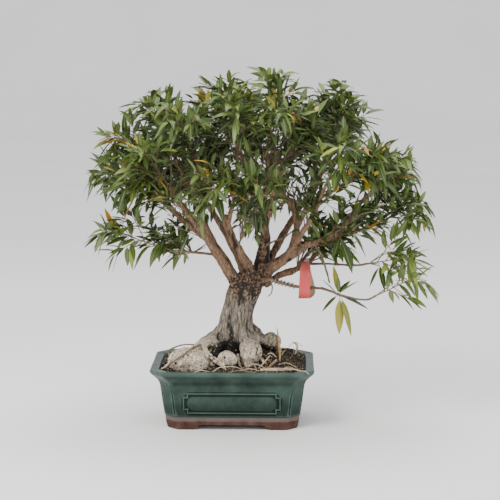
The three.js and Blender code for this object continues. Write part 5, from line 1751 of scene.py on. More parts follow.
def build_soil(sizes):
    soil = soil_body()
    rows = metres_to_rows(vertex_array(soil.data))
    tones = [0.5 + SOIL_TONE * noise.noise(Vector(row) / SOIL_TONE_SIZE) for row in rows]
    set_attribute(soil.data, "grain", tones)
    crumbs = crumb_pile(sizes.soil_grains).build("crumbs", "grain")
    materials = [loose_material(name) for name in ("potting_soil", "soil_crumbs", "dry_moss")]
    for obj in (soil, crumbs):
        for material in materials:
            obj.data.materials.append(material)
    finish_piece(join([soil, crumbs]), "soil_surface", ["soil"], [])


# Tree


def trunk_mesh():
    """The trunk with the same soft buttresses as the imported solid, in finer steps."""
    rings = smooth_path(TRUNK, TRUNK_STEPS)
    points = []
    angles = math.tau * np.arange(TRUNK_SIDES) / TRUNK_SIDES
    for x, y, height, half_width, half_depth in rings:
        fade = min(max((RIB_END - height) / RIB_FADE, RIB_LEAST), 1)
        broad = BROAD_RIB[1] * np.cos(BROAD_RIB[0] * angles + BROAD_RIB[2])
        narrow = NARROW_RIB[1] * np.cos(NARROW_RIB[0] * angles + height / NARROW_RIB[2])
        rib = 1 + fade * (broad + narrow)
        points.append(np.column_stack([
            x + half_width * rib * np.cos(angles), y + half_depth * rib * np.sin(angles),
            np.full(TRUNK_SIDES, height)]))
    return mesh_object("trunk", rows_to_metres(np.concatenate(points)), ring_faces(len(rings), TRUNK_SIDES))


def swelling_mesh(centre, half_sizes, lean):
    points, faces = template(
        "primitive_uv_sphere_add", segments=SWELLING_SEGMENTS, ring_count=SWELLING_RINGS, radius=1)
    x, y, z = (points * half_sizes).T
    cosine, sine = math.cos(math.radians(lean)), math.sin(math.radians(lean))
    points = np.column_stack([x * cosine - z * sine, y, x * sine + z * cosine])
    return mesh_object("swelling", rows_to_metres(points + centre), faces)


def tube_object(stations, sides):
    points, faces, _ = tube_mesh(stations, sides)
    return mesh_object("tube", rows_to_metres(points), faces)


def stout_part(stations):
    """The part of a limb that is stout enough to melt into the trunk."""
    count = 0
    while count < len(stations) and stations[count][3] >= STOUT_RADIUS:
        count += 1
    return stations[:count + 1] if count else []


def bark_height(point):
    """How far bark at a point, in millimetres, stands out or sinks in, from about -1 to 1."""
    flutes = noise.fractal(Vector(point / FLUTE_SIZE), *FLUTE_FRACTAL)
    lumps = noise.fractal(Vector(point) / LUMP_SIZE, *LUMP_FRACTAL)
    low = 1 - smoothstep(point[2], *GRANULAR_HEIGHT)
    return mix(flutes, LOW_RELIEF[0] * flutes + LOW_RELIEF[1] * lumps, low)


def clear_of_earth_and_shade(rows):
    """1 on the swollen roots and the root that crosses the front, 0 where dark earth and painted shade may
    lie.
    """
    clear = np.zeros(len(rows))
    for centre, half_sizes, _ in SWELLINGS[:-1]:
        away = np.linalg.norm((rows - centre) / half_sizes, axis=1)
        clear = np.maximum(clear, np.clip((CLEAR_REACH - away) / CLEAR_FADE, 0, 1))
    for station in smooth_path(ROOTS[-1], CLEAR_STEPS):
        away = np.linalg.norm(rows - station[:3], axis=1)
        clear = np.maximum(clear, np.clip(station[3] + CLEAR_STRAND - away, 0, 1))
    return clear


def tree_core(relief):
    """Trunk, roots, swollen roots and the stout limbs as one skin with bark worked into it."""
    parts = [trunk_mesh()]
    parts += [tube_object(smooth_path(root, ROOT_STEPS), ROOT_SIDES) for root in ROOTS]
    parts += [swelling_mesh(*body) for body in SWELLINGS]
    stout = [stout_part(branch) for branch in LIMBS.values()]
    parts += [tube_object(smooth_path(part, ROOT_STEPS), STOUT_SIDES) for part in stout if part]
    core = join(parts)
    add_modifier(core, "REMESH", mode="VOXEL", voxel_size=CORE_STEP * MM)
    add_modifier(core, "SMOOTH", factor=CORE_SMOOTH_FACTOR, iterations=CORE_SMOOTHING)
    points, normals = vertex_array(core.data), normal_array(core.data)
    rows = metres_to_rows(points)
    heights = np.array([bark_height(point) for point in rows])
    sink = np.zeros(len(rows))
    # Deep fissures and the hollows below darken with dark earth, moss and painted shade.
    dark = np.clip((CREVICE_FROM - heights) / CREVICE_SPAN, 0, 1)
    clear = clear_of_earth_and_shade(rows)
    spots = np.array([noise.fractal(Vector(point / MOTTLE_SIZE), *ROUGH_FRACTAL) for point in rows])
    earthy = np.interp(rows[:, 2], EARTH_TOP, (EARTH_MOTTLE, 0))
    mottle = np.clip(MOTTLE[0] + earthy + MOTTLE[1] * spots, 0, 1)
    for x, z, reach_x, reach_z, depth, darkness in HOLLOWS:
        share = np.exp(-((rows[:, 0] - x) / reach_x) ** 2 - ((rows[:, 2] - z) / reach_z) ** 2)
        share *= (rows[:, 1] < HOLLOW_FRONT) * (1 - clear)
        sink += depth * share
        dark += darkness * share * mottle
    store_vertices(core.data, points + normals * (heights * relief - sink * MM)[:, None])
    set_attribute(core.data, "earth_and_shade", np.clip(dark, 0, 1))
    set_attribute(core.data, "girth", np.full(len(points), CORE_GIRTH))
    return core


def slender_part(stations):
    """The rest of a limb, with a little of the stout part to root it."""
    stout = len(stout_part(stations))
    return stations[max(stout - ROOTED_BY, 0):]


def knobbly(stations, key):
    """The stations of a limb or twig with small swellings and bends."""
    for i, station in enumerate(stations):
        station[3] *= between(*KNOB_GIRTH, KEY_BEND, key, i, 7)
        for axis in range(3):
            station[axis] += station[3] * either_way(KNOB_BEND, KEY_BEND, key, i, axis)
    return stations


def inner_twigs(wood):
    """Bare fine twigs that fan up and out from the limbs inside the crown."""
    twigs = []
    for key, branch in enumerate(wood):
        if branch["name"] in OPEN_LIMBS:
            continue
        for k in range(INNER_TWIGS):
            keys = (KEY_INNER, key, k)
            point, aim, radius = along(branch["stations"], between(*INNER_TWIG_PLACES, *keys, 1))
            if radius > THICKEST_TWIG_ORIGIN:
                continue
            heading = branching_from(aim, between(*INNER_TWIG_OPENING, *keys, 2), any_turn(*keys, 3))
            heading = unit(heading + UP * INNER_TWIG_LIFT + INNER_TWIG_OUT * unit(point - CROWN_ROOT))
            reach = between(*INNER_TWIG_LENGTH, *keys, 4)
            thick = min(radius * INNER_TWIG_SHARE, between(*INNER_TWIG_RADIUS, *keys, 5))
            sway = INNER_TWIG_SWAY * np.array([either_way(1, *keys, 10 + axis) for axis in range(3)])
            twigs.append([
                np.append(point + reach * (heading * share + sway * share * share),
                          mix(thick, INNER_TWIG_TIP, share))
                for share in np.linspace(0, 1, INNER_TWIG_STEPS)
            ])
    return twigs


def wood_pile(wood):
    """The slender limbs, the twigs inside the crown and the strands over the roots."""
    tubes = []
    for key, branch in enumerate(wood):
        stations = slender_part([tuple(station) for station in branch["stations"]])
        if len(stations) > 1:
            tubes.append((knobbly(smooth_path(stations, LIMB_STEPS), key), LIMB_SIDES))
    tubes += [(twig, TWIG_SIDES) for twig in inner_twigs(wood)]
    for key, strand in enumerate(SURFACE_ROOTS):
        tubes.append((knobbly(smooth_path(strand, STRAND_STEPS), KEYS_STRAND + key), STRAND_SIDES))
    pile = MeshPile()
    for stations, sides in tubes:
        pile.add(*tube_mesh(stations, sides))
    return pile


def build_tree(sizes, look):
    wood, _ = grow_tree()
    core = tree_core(sizes.bark_relief)
    limbs = wood_pile(wood).build("limbs", "girth")
    set_attribute(limbs.data, "earth_and_shade", np.zeros(len(limbs.data.vertices)))
    finish_piece(join([core, limbs]), "ficus_wood", ["tree"], [bark_material(look)])


# Leaves


def leaf_template():
    """A closed leaf with a stalk: along, across and height shares, its faces and which side each is on."""
    points, faces, slots = [], [], []
    for share, half_width, thick in LEAF_SECTIONS:
        points += [(share, -half_width, 0), (share, 0, thick), (share, half_width, 0), (share, 0, -thick)]
    sections = len(LEAF_SECTIONS)
    for i in range(sections - 1):
        a, b = 4 * i, 4 * (i + 1)
        faces += [(a, a + 1, b + 1, b), (a + 1, a + 2, b + 2, b + 1)]
        slots += [0, 0]
        faces += [(a + 2, a + 3, b + 3, b + 2), (a + 3, a, b, b + 3)]
        slots += [1, 1]
    last = 4 * (sections - 1)
    faces += [(0, 3, 2, 1), (last, last + 1, last + 2, last + 3)]
    slots += [1, 0]
    return np.array(points), faces, slots


def leaf_points(leaf, shares, fold, roll, curl):
    """A leaf's points in millimetres, from its root, direction, length, width and droop."""
    root, aim, length, width, droop = leaf
    across = np.cross(aim, UP)
    across = unit(SIDEWAYS if np.linalg.norm(across) < LEAF_UPRIGHT else across)
    over = unit(np.cross(across, aim))
    across, over = (math.cos(roll) * across + math.sin(roll) * over,
                    math.cos(roll) * over - math.sin(roll) * across)
    run, side, height = shares.T
    rise = np.abs(side) * width / 2 * math.sin(fold) + height * LEAF_HALF_THICKNESS
    sideways = side * width / 2 * math.cos(fold) + curl * length * run * run
    line = root + np.outer(run * length, aim) - np.outer(droop * length * run * run, UP)
    return line + np.outer(sideways, across) + np.outer(rise, over)


def inside_box(points):
    """True where every point, in millimetres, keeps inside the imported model's own box."""
    places = rows_to_metres(points)
    return bool((places > BOX_LOW).all() and (places < BOX_HIGH).all())


def inside_crown(point):
    """True where a point, in millimetres, hardly stands out of the upper crown's round outline."""
    if point[2] < LEAF_LIMIT_FROM:
        return True
    across, up = point[0] - CROWN_MIDDLE[0], point[2] - CROWN_MIDDLE[1]
    side = min(abs(point[1]) / (CROWN_HALF_DEPTH + LEAF_STANDS_OUT), 1)
    limit = outline_radius(math.atan2(up, across)) * math.sqrt(1 - side * side)
    return math.hypot(across, up) < limit + LEAF_STANDS_OUT


def leaf_colours(shares, tone, age, hue):
    """Tone, age and run for each point, with how far across the leaf it lies as the fourth value."""
    run = np.where(shares[:, 0] < LEAF_STALK, 0, mix(LEAST_HUE, 1, hue))
    across = 0.5 + 0.5 * np.sign(shares[:, 1])
    return np.column_stack([np.full(len(shares), tone), np.full(len(shares), age), run, across])


def add_leaf(pile, leaf, sizes, keys):
    """Adds one leaf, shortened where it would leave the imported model's box."""
    shares, faces, slots = leaf_template()
    root, aim, length, width, droop = leaf
    fold = sizes.leaf_fold * between(*LEAF_FOLD_VARIES, *keys, 1)
    roll = either_way(math.radians(LEAF_TWIST), *keys, 2)
    curl = either_way(LEAF_CURL, *keys, 3)
    kept = None
    for shorten, sag in LEAF_YIELDS:
        trial = (root, aim, length * sizes.leaf_scale * shorten, width, droop + sag)
        points = leaf_points(trial, shares, fold, roll, curl)
        if inside_box(points):
            kept = points
            if inside_crown(points[-1]):
                break
    if kept is None:
        return
    yellow = chance(*keys, 4) < yellow_chance(kept, sizes.yellow_share)
    age = between(TURNED_AGE, 1, *keys, 5) if yellow else 0
    pile.add(kept, faces, leaf_colours(shares, leaf_tone_and_shade(kept, keys), age, chance(*keys, 7)), slots)


def open_front_share(point):
    """1 in the open middle of the crown, where the limbs show, and 0 well away from it."""
    x, z, reach_x, reach_z = OPEN_FRONT
    return math.exp(-((point[0] - x) / reach_x) ** 2 - ((point[2] - z) / reach_z) ** 2)


def low_right_share(point):
    """1 at the low right tip of the crown and 0 well away from it."""
    near, far, top, full = LOW_RIGHT
    return smoothstep(point[0], near, far) * (1 - smoothstep(point[2], full, top))


def twin_chance(point, open_front):
    """How likely a leaf has a second one beside it at a place in the crown."""
    more, near, far = TWIN_RIGHT
    thin = TWIN_OPEN * open_front + TWIN_LOW * low_right_share(point)
    return TWIN_SHARE + more * smoothstep(point[0], near, far) - thin


def leaf_chance(point, open_front):
    """How likely a leaf stands at a place in the crown."""
    return 1 - OPEN_FRONT_THINS * open_front - LOW_RIGHT_THINS * low_right_share(point)


def spray_leaf(stations, slot, keys, twin):
    """A leaf of a spray, or None where the crown is thin. A twin stands wider and is shorter."""
    leaf = list(leaf_at(stations, slot, (KEY_LEAF, *keys)))
    look_keys = (KEY_LOOK, *keys, twin)
    open_front = open_front_share(leaf[0])
    likely = (twin_chance if twin else leaf_chance)(leaf[0], open_front)
    if chance(*look_keys, 22) > likely:
        return None
    leaf[2] *= 1 - OPEN_FRONT_SHORTENS * open_front
    leaf[1] = branching_from(leaf[1], between(0, LEAF_STRAYS, *look_keys, 20), any_turn(*look_keys, 21))
    if twin:
        leaf[1] = branching_from(leaf[1], between(*TWIN_OPENING, *look_keys, 9), any_turn(*look_keys, 10))
        leaf[2] *= between(*TWIN_LENGTH, *look_keys, 11)
        leaf[3] = leaf[2] / LEAF_SLENDERNESS
    return leaf


def spray_pile(spray, key, sizes):
    """The twigs of a spray and the leaves along them."""
    pile = MeshPile()
    for twig, stations in enumerate(spray_twigs(spray, key)):
        while len(stations) > 2 and not inside_box(np.array(stations)[:, :3]):
            stations = stations[:-1]
        points, faces, _ = tube_mesh(smooth_path(stations, TWIG_STEPS), TWIG_SIDES)
        run = np.repeat(np.linspace(0, 1, len(points) // TWIG_SIDES), TWIG_SIDES)
        pile.add(points, faces, np.column_stack([run] * 4), 2)
        coarse = stations[::2] if twig == 0 and len(stations) > 4 else stations
        for slot in range(LEAF_SLOTS):
            for twin in range(LEAVES_PER_SLOT):
                leaf = spray_leaf(coarse, slot, (key, twig, slot), twin)
                if leaf:
                    add_leaf(pile, leaf, sizes, (KEY_LOOK, key, twig, slot, twin))
    return pile


def inner_leaf_pile(wood, sizes):
    """Leaves along the outer part of the twigs inside the crown, fewer towards its bare middle."""
    pile = MeshPile()
    for key, stations in enumerate(inner_twigs(wood)):
        for slot in range(INNER_LEAVES):
            keys = (KEY_INNER, key, slot, 50)
            point, aim, _ = along(stations, mix(*INNER_LEAF_PLACES, slot / (INNER_LEAVES - 1)))
            depth = np.linalg.norm((point - CROWN_CENTRE) / CROWN_HALF)
            leafy = smoothstep(depth, *INNER_BARE) * max(
                smoothstep(point[2], *INNER_BARE_HEIGHT),
                smoothstep(abs(point[0] - CROWN_MIDDLE[0]), *INNER_BARE_SIDE))
            if chance(*keys, 12) > leafy:
                continue
            heading = branching_from(aim, between(*INNER_LEAF_OPENING, *keys, 13), TURN * slot + key)
            length = between(*INNER_LEAF_LENGTH, *keys, 14)
            width = length / LEAF_SLENDERNESS * between(*LEAF_WIDTH_VARIES, *keys, 15)
            add_leaf(pile, (point, heading, length, width, between(*LEAF_DROOP, *keys, 16)), sizes, keys)
    return pile


def yellow_chance(points, share):
    """Most of the turned leaves stand where the photograph shows them."""
    x, y, z = points.mean(axis=0)
    near = min(math.hypot(x - spot_x, z - spot_z) for spot_x, spot_z in YELLOW_SPOTS)
    return YELLOW_SPOT_SHARE if near < YELLOW_REACH and y < YELLOW_FRONT else share


def leaf_tone_and_shade(points, keys):
    """Young leaves at the surface are lighter; those inside the crown are darker with painted shade."""
    depth = np.linalg.norm((points.mean(axis=0) - CROWN_CENTRE) / CROWN_HALF)
    # Painted shade: leaves deep in the crown take a darker tone.
    tone = mix(*SHADED_AND_SURFACE_LEAF_TONES, smoothstep(depth, *SURFACE_FROM)) + between(*LEAF_TONE_VARIES, *keys, 6)
    if chance(*keys, 8) < FRESH_SHARE:
        tone += FRESH_TONE
    return min(max(tone, 0), 1)


def nearest_on_wood(point, wood):
    """The place on the limbs and branches nearest to a point."""
    shares = np.linspace(*WOOD_SAMPLES)
    places = [along(branch["stations"], share)[0] for branch in wood for share in shares]
    return min(places, key=lambda place_on: np.linalg.norm(place_on - point))


def low_leaf_pile(wood):
    """The few leaves that hang clear of the crown on the lowest branch."""
    pile = MeshPile()
    shares, faces, slots = leaf_template()
    for key, (root, tip, tone, age, hue) in enumerate(LOW_LEAVES):
        keys = (KEY_LOOK, KEYS_LOW_LEAF + key)
        foot = nearest_on_wood(np.array(root, dtype=float), wood)
        bud = mix(foot, np.array(root, dtype=float), LOW_STALK)
        if np.linalg.norm(bud - foot) > LOW_STALK_LEAST:
            stations = [(*mix(foot, bud, share), radius) for share, radius in LOW_STALK_RADII]
            stalk, stalk_faces, _ = tube_mesh(stations, LOW_STALK_SIDES)
            pile.add(stalk, stalk_faces, np.full((len(stalk), 4), LOW_STALK_TONE), 2)
        away = np.array(tip, dtype=float) - bud
        length = np.linalg.norm(away)
        width = length / LEAF_SLENDERNESS * LOW_LEAF_WIDTH
        droop = LOW_DROOP * (1 - abs(away[2]) / length)
        leaf = (bud, unit(away + UP * droop * length), length, width, droop)
        roll = math.radians(either_way(LOW_LEAF_TURN, *keys, 1))
        curl = either_way(LOW_LEAF_CURL, *keys, 2)
        points = leaf_points(leaf, shares, math.radians(LOW_LEAF_FOLD), roll, curl)
        pile.add(points, faces, leaf_colours(shares, tone, age, hue), slots)
    return pile


def build_foliage(sizes, look):
    wood, sprays = grow_tree()
    materials = [
        leaf_material("leaf_top", look, False), leaf_material("leaf_under", look, True), twig_material(look),
    ]
    piles = [(f"leafy_{node}", [node], spray_pile(spray, key, sizes))
             for key, (node, spray) in enumerate(zip(SPRAY_NODES, sprays))]
    piles += [("low_leaves", [], low_leaf_pile(wood)), ("inner_leaves", [], inner_leaf_pile(wood, sizes))]
    for name, nodes, pile in piles:
        finish_piece(pile.build(name, "leaf", "FLOAT_COLOR"), name, nodes, materials)


# Label, wire and litter


def label_sections():
    """The label's closed line, smoothed: x, y, height and half width at each step."""
    line = [np.array(point, dtype=float) for point in LABEL_LOOP]
    sections = []
    for i in range(len(line)):
        corners = [line[(i + k) % len(line)] for k in (-1, 0, 1, 2)]
        for step in range(LABEL_STEPS):
            y, z = curve_point(*corners, step / LABEL_STEPS)
            half = mix(*LABEL_HALF_WIDTHS, smoothstep(z, *LABEL_SHOULDER))
            turn = smoothstep(y, *LABEL_TURN_DEPTH) * (1 - smoothstep(z, *LABEL_TURN_HEIGHT))
            x = np.interp(z, LABEL_HEIGHTS, LABEL_X) + LABEL_TURN * turn
            sections.append((x, y, z, half))
    return sections


def build_label(look):
    """A closed band of soft plastic, red outside and paler inside."""
    sections = label_sections()
    count, columns = len(sections), len(LABEL_COLUMNS)
    points, faces, slots = [], [], []
    for i, (x, y, z, half) in enumerate(sections):
        run = unit(np.array(sections[(i + 1) % count][1:3]) - np.array(sections[i - 1][1:3]))
        inward = np.array([0, -run[1], run[0]])
        for depth in (LABEL_INSET, LABEL_INSET + LABEL_THICKNESS):
            for column in LABEL_COLUMNS:
                spot = Vector((x + column * LABEL_WAVE_SPREAD, y, z))
                wave = LABEL_WAVE * noise.noise(spot / LABEL_WAVE_SIZE)
                points.append(np.array([x + column * half, y, z]) + inward * (depth + wave))
    for i in range(count):
        here, ahead = 2 * columns * i, 2 * columns * ((i + 1) % count)
        for k in range(columns - 1):
            faces.append((here + k, here + k + 1, ahead + k + 1, ahead + k))
            low, next_low = here + columns + k, ahead + columns + k
            faces.append((low + 1, low, next_low, next_low + 1))
            slots += [0, 1]
        for k, turn_over in ((0, False), (columns - 1, True)):
            side = (here + k, ahead + k, ahead + columns + k, here + columns + k)
            faces.append(side[::-1] if turn_over else side)
            slots.append(0)
    label = mesh_object("label", rows_to_metres(points), faces)
    label.data.polygons.foreach_set("material_index", slots)
    recalculate_normals(label)
    red = plastic_material("label_outside", (*look.label, 1), LABEL_OUTSIDE_HIGHLIGHT)
    pale = plastic_material("label_inside", *LABEL_INSIDE)
    finish_piece(label, "plastic_label", ["label_loop"], [red, pale])


def build_wire():
    """Training wire: a helix about the low branch that keeps just off its bark."""
    stations = LIMBS["wrapped"][WIRE_FROM:WIRE_TO + 1]
    path = []
    steps = WIRE_TURNS * WIRE_STEPS
    for i in range(steps + 1):
        point, aim, radius = along(stations, i / steps)
        side_a = unit(np.cross(UP, aim))
        side_b = np.cross(aim, side_a)
        angle = math.tau * i / WIRE_STEPS
        reach = (radius + CLEARANCE + WIRE_RADIUS) * WIRE_STAND_OFF
        offset = reach * (math.cos(angle) * side_a + math.sin(angle) * side_b)
        path.append(np.append(point + offset, WIRE_RADIUS))
    wire = tube_object(path, WIRE_SIDES)
    recalculate_normals(wire)
    finish_piece(wire, "training_wire", ["wrap_wire"], [plain_material("training_wire")])


def rough_stick(stations, sides, key):
    """A weathered stick: a smooth path with uneven rings."""
    stick = tube_object(smooth_path(stations, STICK_STEPS), sides)
    points, normals = vertex_array(stick.data), normal_array(stick.data)
    for i, point in enumerate(points):
        bite = noise.fractal(Vector(point / MM) / STICK_GRAIN + Vector((key, 0, 0)), *ROUGH_FRACTAL)
        points[i] = point + normals[i] * STICK_ROUGHNESS * MM * bite
    store_vertices(stick.data, points)
    recalculate_normals(stick)
    return stick


def build_sticks():
    pale = rough_stick(PALE_STICK, PALE_STICK_SIDES, 11)
    finish_piece(pale, "weathered_stick", ["pale_stick"], [plain_material("weathered_wood")])
    chip = rough_stick(BARK_CHIP, BARK_CHIP_SIDES, 12)
    finish_piece(chip, "bark_sliver", ["bark_chip"], [plain_material("old_bark")])


def build_dry_leaf():
    """A fallen leaf that has dried upright, curled along its length."""
    shares, faces, _ = leaf_template()
    foot, tip = np.array(DRY_LEAF_FOOT, dtype=float), np.array(DRY_LEAF_TIP, dtype=float)
    leaf = (foot, unit(tip - foot), np.linalg.norm(tip - foot), DRY_LEAF_WIDTH, DRY_LEAF_DROOP)
    fold, roll = math.radians(DRY_LEAF_FOLD), math.radians(DRY_LEAF_TURN)
    points = leaf_points(leaf, shares, fold, roll, DRY_LEAF_CURL)
    blade = mesh_object("dry", rows_to_metres(points), faces)
    recalculate_normals(blade)
    finish_piece(blade, "dried_leaf", ["dry_leaf"], [plain_material("dried_leaf")])


def add_litter_leaf(pile, key):
    """A dry leaf that lies on the soil."""
    spot = on_soil(KEY_LITTER, key, 30)
    heading = any_turn(KEY_LITTER, key, 31)
    length = between(*LITTER_LEAF_LENGTH, KEY_LITTER, key, 32)
    if spot is None or np.hypot(*(spot[:2] / (POT_HALF - SOIL_INSET - length))) > 1:
        return
    shares, faces, _ = leaf_template()
    root = spot + UP * LITTER_LIFT
    end = root + length * np.array([math.cos(heading), math.sin(heading), 0])
    end[2] = soil_height(end[0], end[1]) + LITTER_LIFT
    leaf = (root, unit(end - root), length, length / LITTER_LEAF_SLENDERNESS, 0)
    curl = either_way(LITTER_LEAF_CURL, KEY_LITTER, key, 1)
    fold = math.radians(between(*LITTER_LEAF_FOLD, KEY_LITTER, key, 2))
    tone = between(*LITTER_LEAF_TONES, KEY_LITTER, key, 33)
    pile.add(leaf_points(leaf, shares, fold, 0, curl), faces, [tone] * len(shares))


def add_straw(pile, key):
    """A bent straw with its ends near the soil."""
    spot = on_soil(KEY_LITTER, key, 40)
    heading = any_turn(KEY_LITTER, key, 41)
    reach = between(*STRAW_REACH, KEY_LITTER, key, 42)
    if spot is None or (np.abs(spot[:2]) > POT_HALF - SOIL_INSET - reach).any():
        return
    middle_lift = between(*STRAW_LIFT, KEY_LITTER, key, 43)
    radius = between(*STRAW_RADIUS, KEY_LITTER, key, 44)
    stations = []
    for step, lift in ((-1, STRAW_END_LIFT), (0, middle_lift), (1, STRAW_END_LIFT)):
        x = spot[0] + step * reach * math.cos(heading)
        y = spot[1] + step * reach * math.sin(heading)
        stations.append((x, y, soil_height(x, y) + lift, radius))
    points, faces, _ = tube_mesh(knobbly(smooth_path(stations, STRAW_STEPS), KEYS_STRAW + key), STRAW_SIDES)
    pile.add(points, faces, [between(*STRAW_TONES, KEY_LITTER, key, 45)] * len(points))


def build_litter():
    """Fine rootlets, bits of stick and fallen leaves on the soil."""
    pile = MeshPile()
    for key, (stations, pale) in enumerate(ROOTLETS):
        path = knobbly(smooth_path(stations, ROOTLET_STEPS), KEYS_ROOTLET + key)
        points, faces, _ = tube_mesh(path, ROOTLET_SIDES)
        pile.add(points, faces, [pale] * len(points))
    for key in range(LITTER_LEAVES):
        add_litter_leaf(pile, key)
    for key in range(STRAWS):
        add_straw(pile, key)
    litter = pile.build("litter", "grain")
    recalculate_normals(litter)
    finish_piece(litter, "fine_litter", [], [loose_material("fine_litter")])


def finish_screens():
    """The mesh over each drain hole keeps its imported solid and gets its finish."""
    material = plain_material("plastic_mesh")
    for name in ("drain_screen_left", "drain_screen_right"):
        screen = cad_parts[name]
        screen.data.materials.clear()
        screen.data.materials.append(material)


# Stage


def area_light(name, spot, aim, size, power, colour):
    light = bpy.data.lights.new(name, "AREA")
    light.shape = "DISK"
    light.size = size
    light.energy = power
    light.color = colour
    obj = link(bpy.data.objects.new(name, light))
    obj.location = spot
    obj.rotation_euler = (Vector(aim) - Vector(spot)).to_track_quat("-Z", "Y").to_euler()


def build_floor():
    """A pale floor that curves up into a backdrop."""
    deselect()
    bpy.ops.mesh.primitive_plane_add(size=FLOOR_SIZE, location=tuple(POT_MIDDLE))
    floor = bpy.context.object
    floor.name = "floor"
    set_mode("EDIT")
    bpy.ops.mesh.select_mode(type="EDGE")
    bpy.ops.mesh.select_all(action="DESELECT")
    set_mode("OBJECT")
    for edge in floor.data.edges:
        edge.select = all(abs(floor.data.vertices[i].co.y - FLOOR_SIZE / 2) < MM for i in edge.vertices)
    set_mode("EDIT")
    reach = BACKDROP_CURVE / BACKDROP_STEPS
    for step in range(BACKDROP_STEPS):
        angle = math.pi / 2 * (step + 0.5) / BACKDROP_STEPS
        bpy.ops.mesh.extrude_region_move(
            TRANSFORM_OT_translate={"value": (0, reach * math.cos(angle), reach * math.sin(angle))})
    bpy.ops.mesh.extrude_region_move(TRANSFORM_OT_translate={"value": (0, 0, BACKDROP_HEIGHT)})
    set_mode("OBJECT")
    bpy.ops.object.transform_apply(location=True, rotation=False, scale=False)
    smooth_by_angle(floor, SMOOTH_FLOOR_BELOW)
    floor.data.materials.append(plain_material("backdrop_paper"))


def build_stage():
    """The floor, soft light and the camera of the photograph."""
    build_floor()
    aim = tuple(POT_MIDDLE + UP * LIGHT_AIM)
    for name, spot, size, power, colour in LIGHTS:
        area_light(name, tuple(POT_MIDDLE + np.array(spot)), aim, size, power, colour)
    world = bpy.data.worlds.new("pale_room")
    world.use_nodes = True
    background = world.node_tree.nodes["Background"]
    background.inputs["Color"].default_value = WORLD_COLOUR
    background.inputs["Strength"].default_value = WORLD_STRENGTH
    bpy.context.scene.world = world
    lens = bpy.data.cameras.new("camera")
    lens.lens = CAMERA_LENS
    lens.sensor_width = CAMERA_SENSOR
    lens.clip_end = CAMERA_REACH
    camera = link(bpy.data.objects.new("camera", lens))
    camera.location = Vector(POT_MIDDLE + np.array(CAMERA_PLACE))
    camera.rotation_euler = (math.pi / 2 - CAMERA_PITCH, 0, CAMERA_YAW)
    bpy.context.scene.camera = camera


# Operators and panel


class FICUS_OT_pot(bpy.types.Operator):
    """Glazed pot with its feet, panel ribs and drain holes"""
    bl_idname = "ficus.pot"
    bl_label = "Build the pot"

    def execute(self, context):
        build_pot(context.scene.ficus_sizes, context.scene.ficus_look)
        return {"FINISHED"}


class FICUS_OT_soil(bpy.types.Operator):
    """Soil with crumbs and dry moss"""
    bl_idname = "ficus.soil"
    bl_label = "Build the soil"

    def execute(self, context):
        build_soil(context.scene.ficus_sizes)
        return {"FINISHED"}


class FICUS_OT_tree(bpy.types.Operator):
    """Trunk, roots, limbs and bare twigs"""
    bl_idname = "ficus.tree"
    bl_label = "Build the wood"

    def execute(self, context):
        build_tree(context.scene.ficus_sizes, context.scene.ficus_look)
        return {"FINISHED"}


class FICUS_OT_foliage(bpy.types.Operator):
    """Leafy twigs, one piece for each spray"""
    bl_idname = "ficus.foliage"
    bl_label = "Build the foliage"

    def execute(self, context):
        build_foliage(context.scene.ficus_sizes, context.scene.ficus_look)
        return {"FINISHED"}


class FICUS_OT_label(bpy.types.Operator):
    """Band of soft plastic that hangs on a limb at the right"""
    bl_idname = "ficus.label"
    bl_label = "Build the label"

    def execute(self, context):
        build_label(context.scene.ficus_look)
        return {"FINISHED"}


class FICUS_OT_wire(bpy.types.Operator):
    """Training wire round the low branch"""
    bl_idname = "ficus.wire"
    bl_label = "Build the wire"

    def execute(self, context):
        build_wire()
        return {"FINISHED"}


class FICUS_OT_sticks(bpy.types.Operator):
    """Weathered stick and sliver of bark in the soil"""
    bl_idname = "ficus.sticks"
    bl_label = "Build the sticks"

    def execute(self, context):
        build_sticks()
        return {"FINISHED"}


class FICUS_OT_dry_leaf(bpy.types.Operator):
    """Dry leaf that stands in the soil"""
    bl_idname = "ficus.dry_leaf"
    bl_label = "Build the dry leaf"

    def execute(self, context):
        build_dry_leaf()
        return {"FINISHED"}


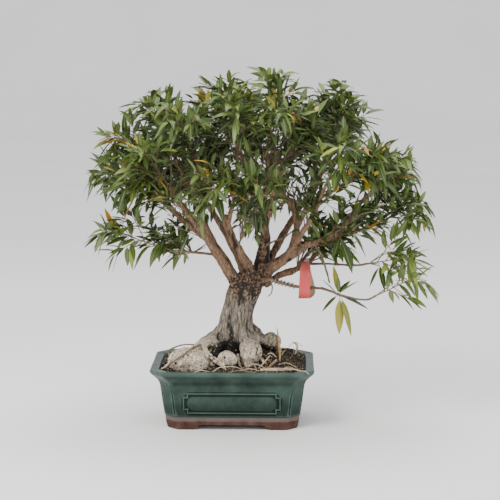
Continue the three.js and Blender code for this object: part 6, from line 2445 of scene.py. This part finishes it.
class FICUS_OT_litter(bpy.types.Operator):
    """Rootlets, bits of stick and fallen leaves"""
    bl_idname = "ficus.litter"
    bl_label = "Build the litter"

    def execute(self, context):
        build_litter()
        return {"FINISHED"}


class FICUS_OT_screens(bpy.types.Operator):
    """Material of the mesh over the drain holes"""
    bl_idname = "ficus.screens"
    bl_label = "Finish the screens"

    def execute(self, context):
        finish_screens()
        return {"FINISHED"}


class FICUS_OT_stage(bpy.types.Operator):
    """Floor, backdrop, light and camera"""
    bl_idname = "ficus.stage"
    bl_label = "Build the stage"

    def execute(self, context):
        build_stage()
        return {"FINISHED"}


OPERATORS = (
    FICUS_OT_pot,
    FICUS_OT_soil,
    FICUS_OT_tree,
    FICUS_OT_foliage,
    FICUS_OT_label,
    FICUS_OT_wire,
    FICUS_OT_sticks,
    FICUS_OT_dry_leaf,
    FICUS_OT_litter,
    FICUS_OT_screens,
    FICUS_OT_stage,
)


class FICUS_PT_panel(bpy.types.Panel):
    """The steps in their order, and what they read"""
    bl_idname = "FICUS_PT_panel"
    bl_label = "Ficus bonsai"
    bl_space_type = "VIEW_3D"
    bl_region_type = "UI"
    bl_category = "Bonsai"

    def draw(self, context):
        layout = self.layout
        for group in (context.scene.ficus_sizes, context.scene.ficus_look):
            for name in group.bl_rna.properties.keys():
                if name not in ("rna_type", "name"):
                    layout.prop(group, name)
        for operator in OPERATORS:
            layout.operator(operator.bl_idname)


CLASSES = (FicusLook, FicusSizes, *OPERATORS, FICUS_PT_panel)


def register():
    for cls in CLASSES:
        bpy.utils.register_class(cls)
    bpy.types.Scene.ficus_look = bpy.props.PointerProperty(type=FicusLook)
    bpy.types.Scene.ficus_sizes = bpy.props.PointerProperty(type=FicusSizes)


def unregister():
    del bpy.types.Scene.ficus_sizes
    del bpy.types.Scene.ficus_look
    for cls in reversed(CLASSES):
        bpy.utils.unregister_class(cls)


def main():
    register()
    for operator in OPERATORS:
        _, name = operator.bl_idname.split(".")
        getattr(bpy.ops.ficus, name)()
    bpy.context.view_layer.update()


if __name__ == "__main__":
    main()
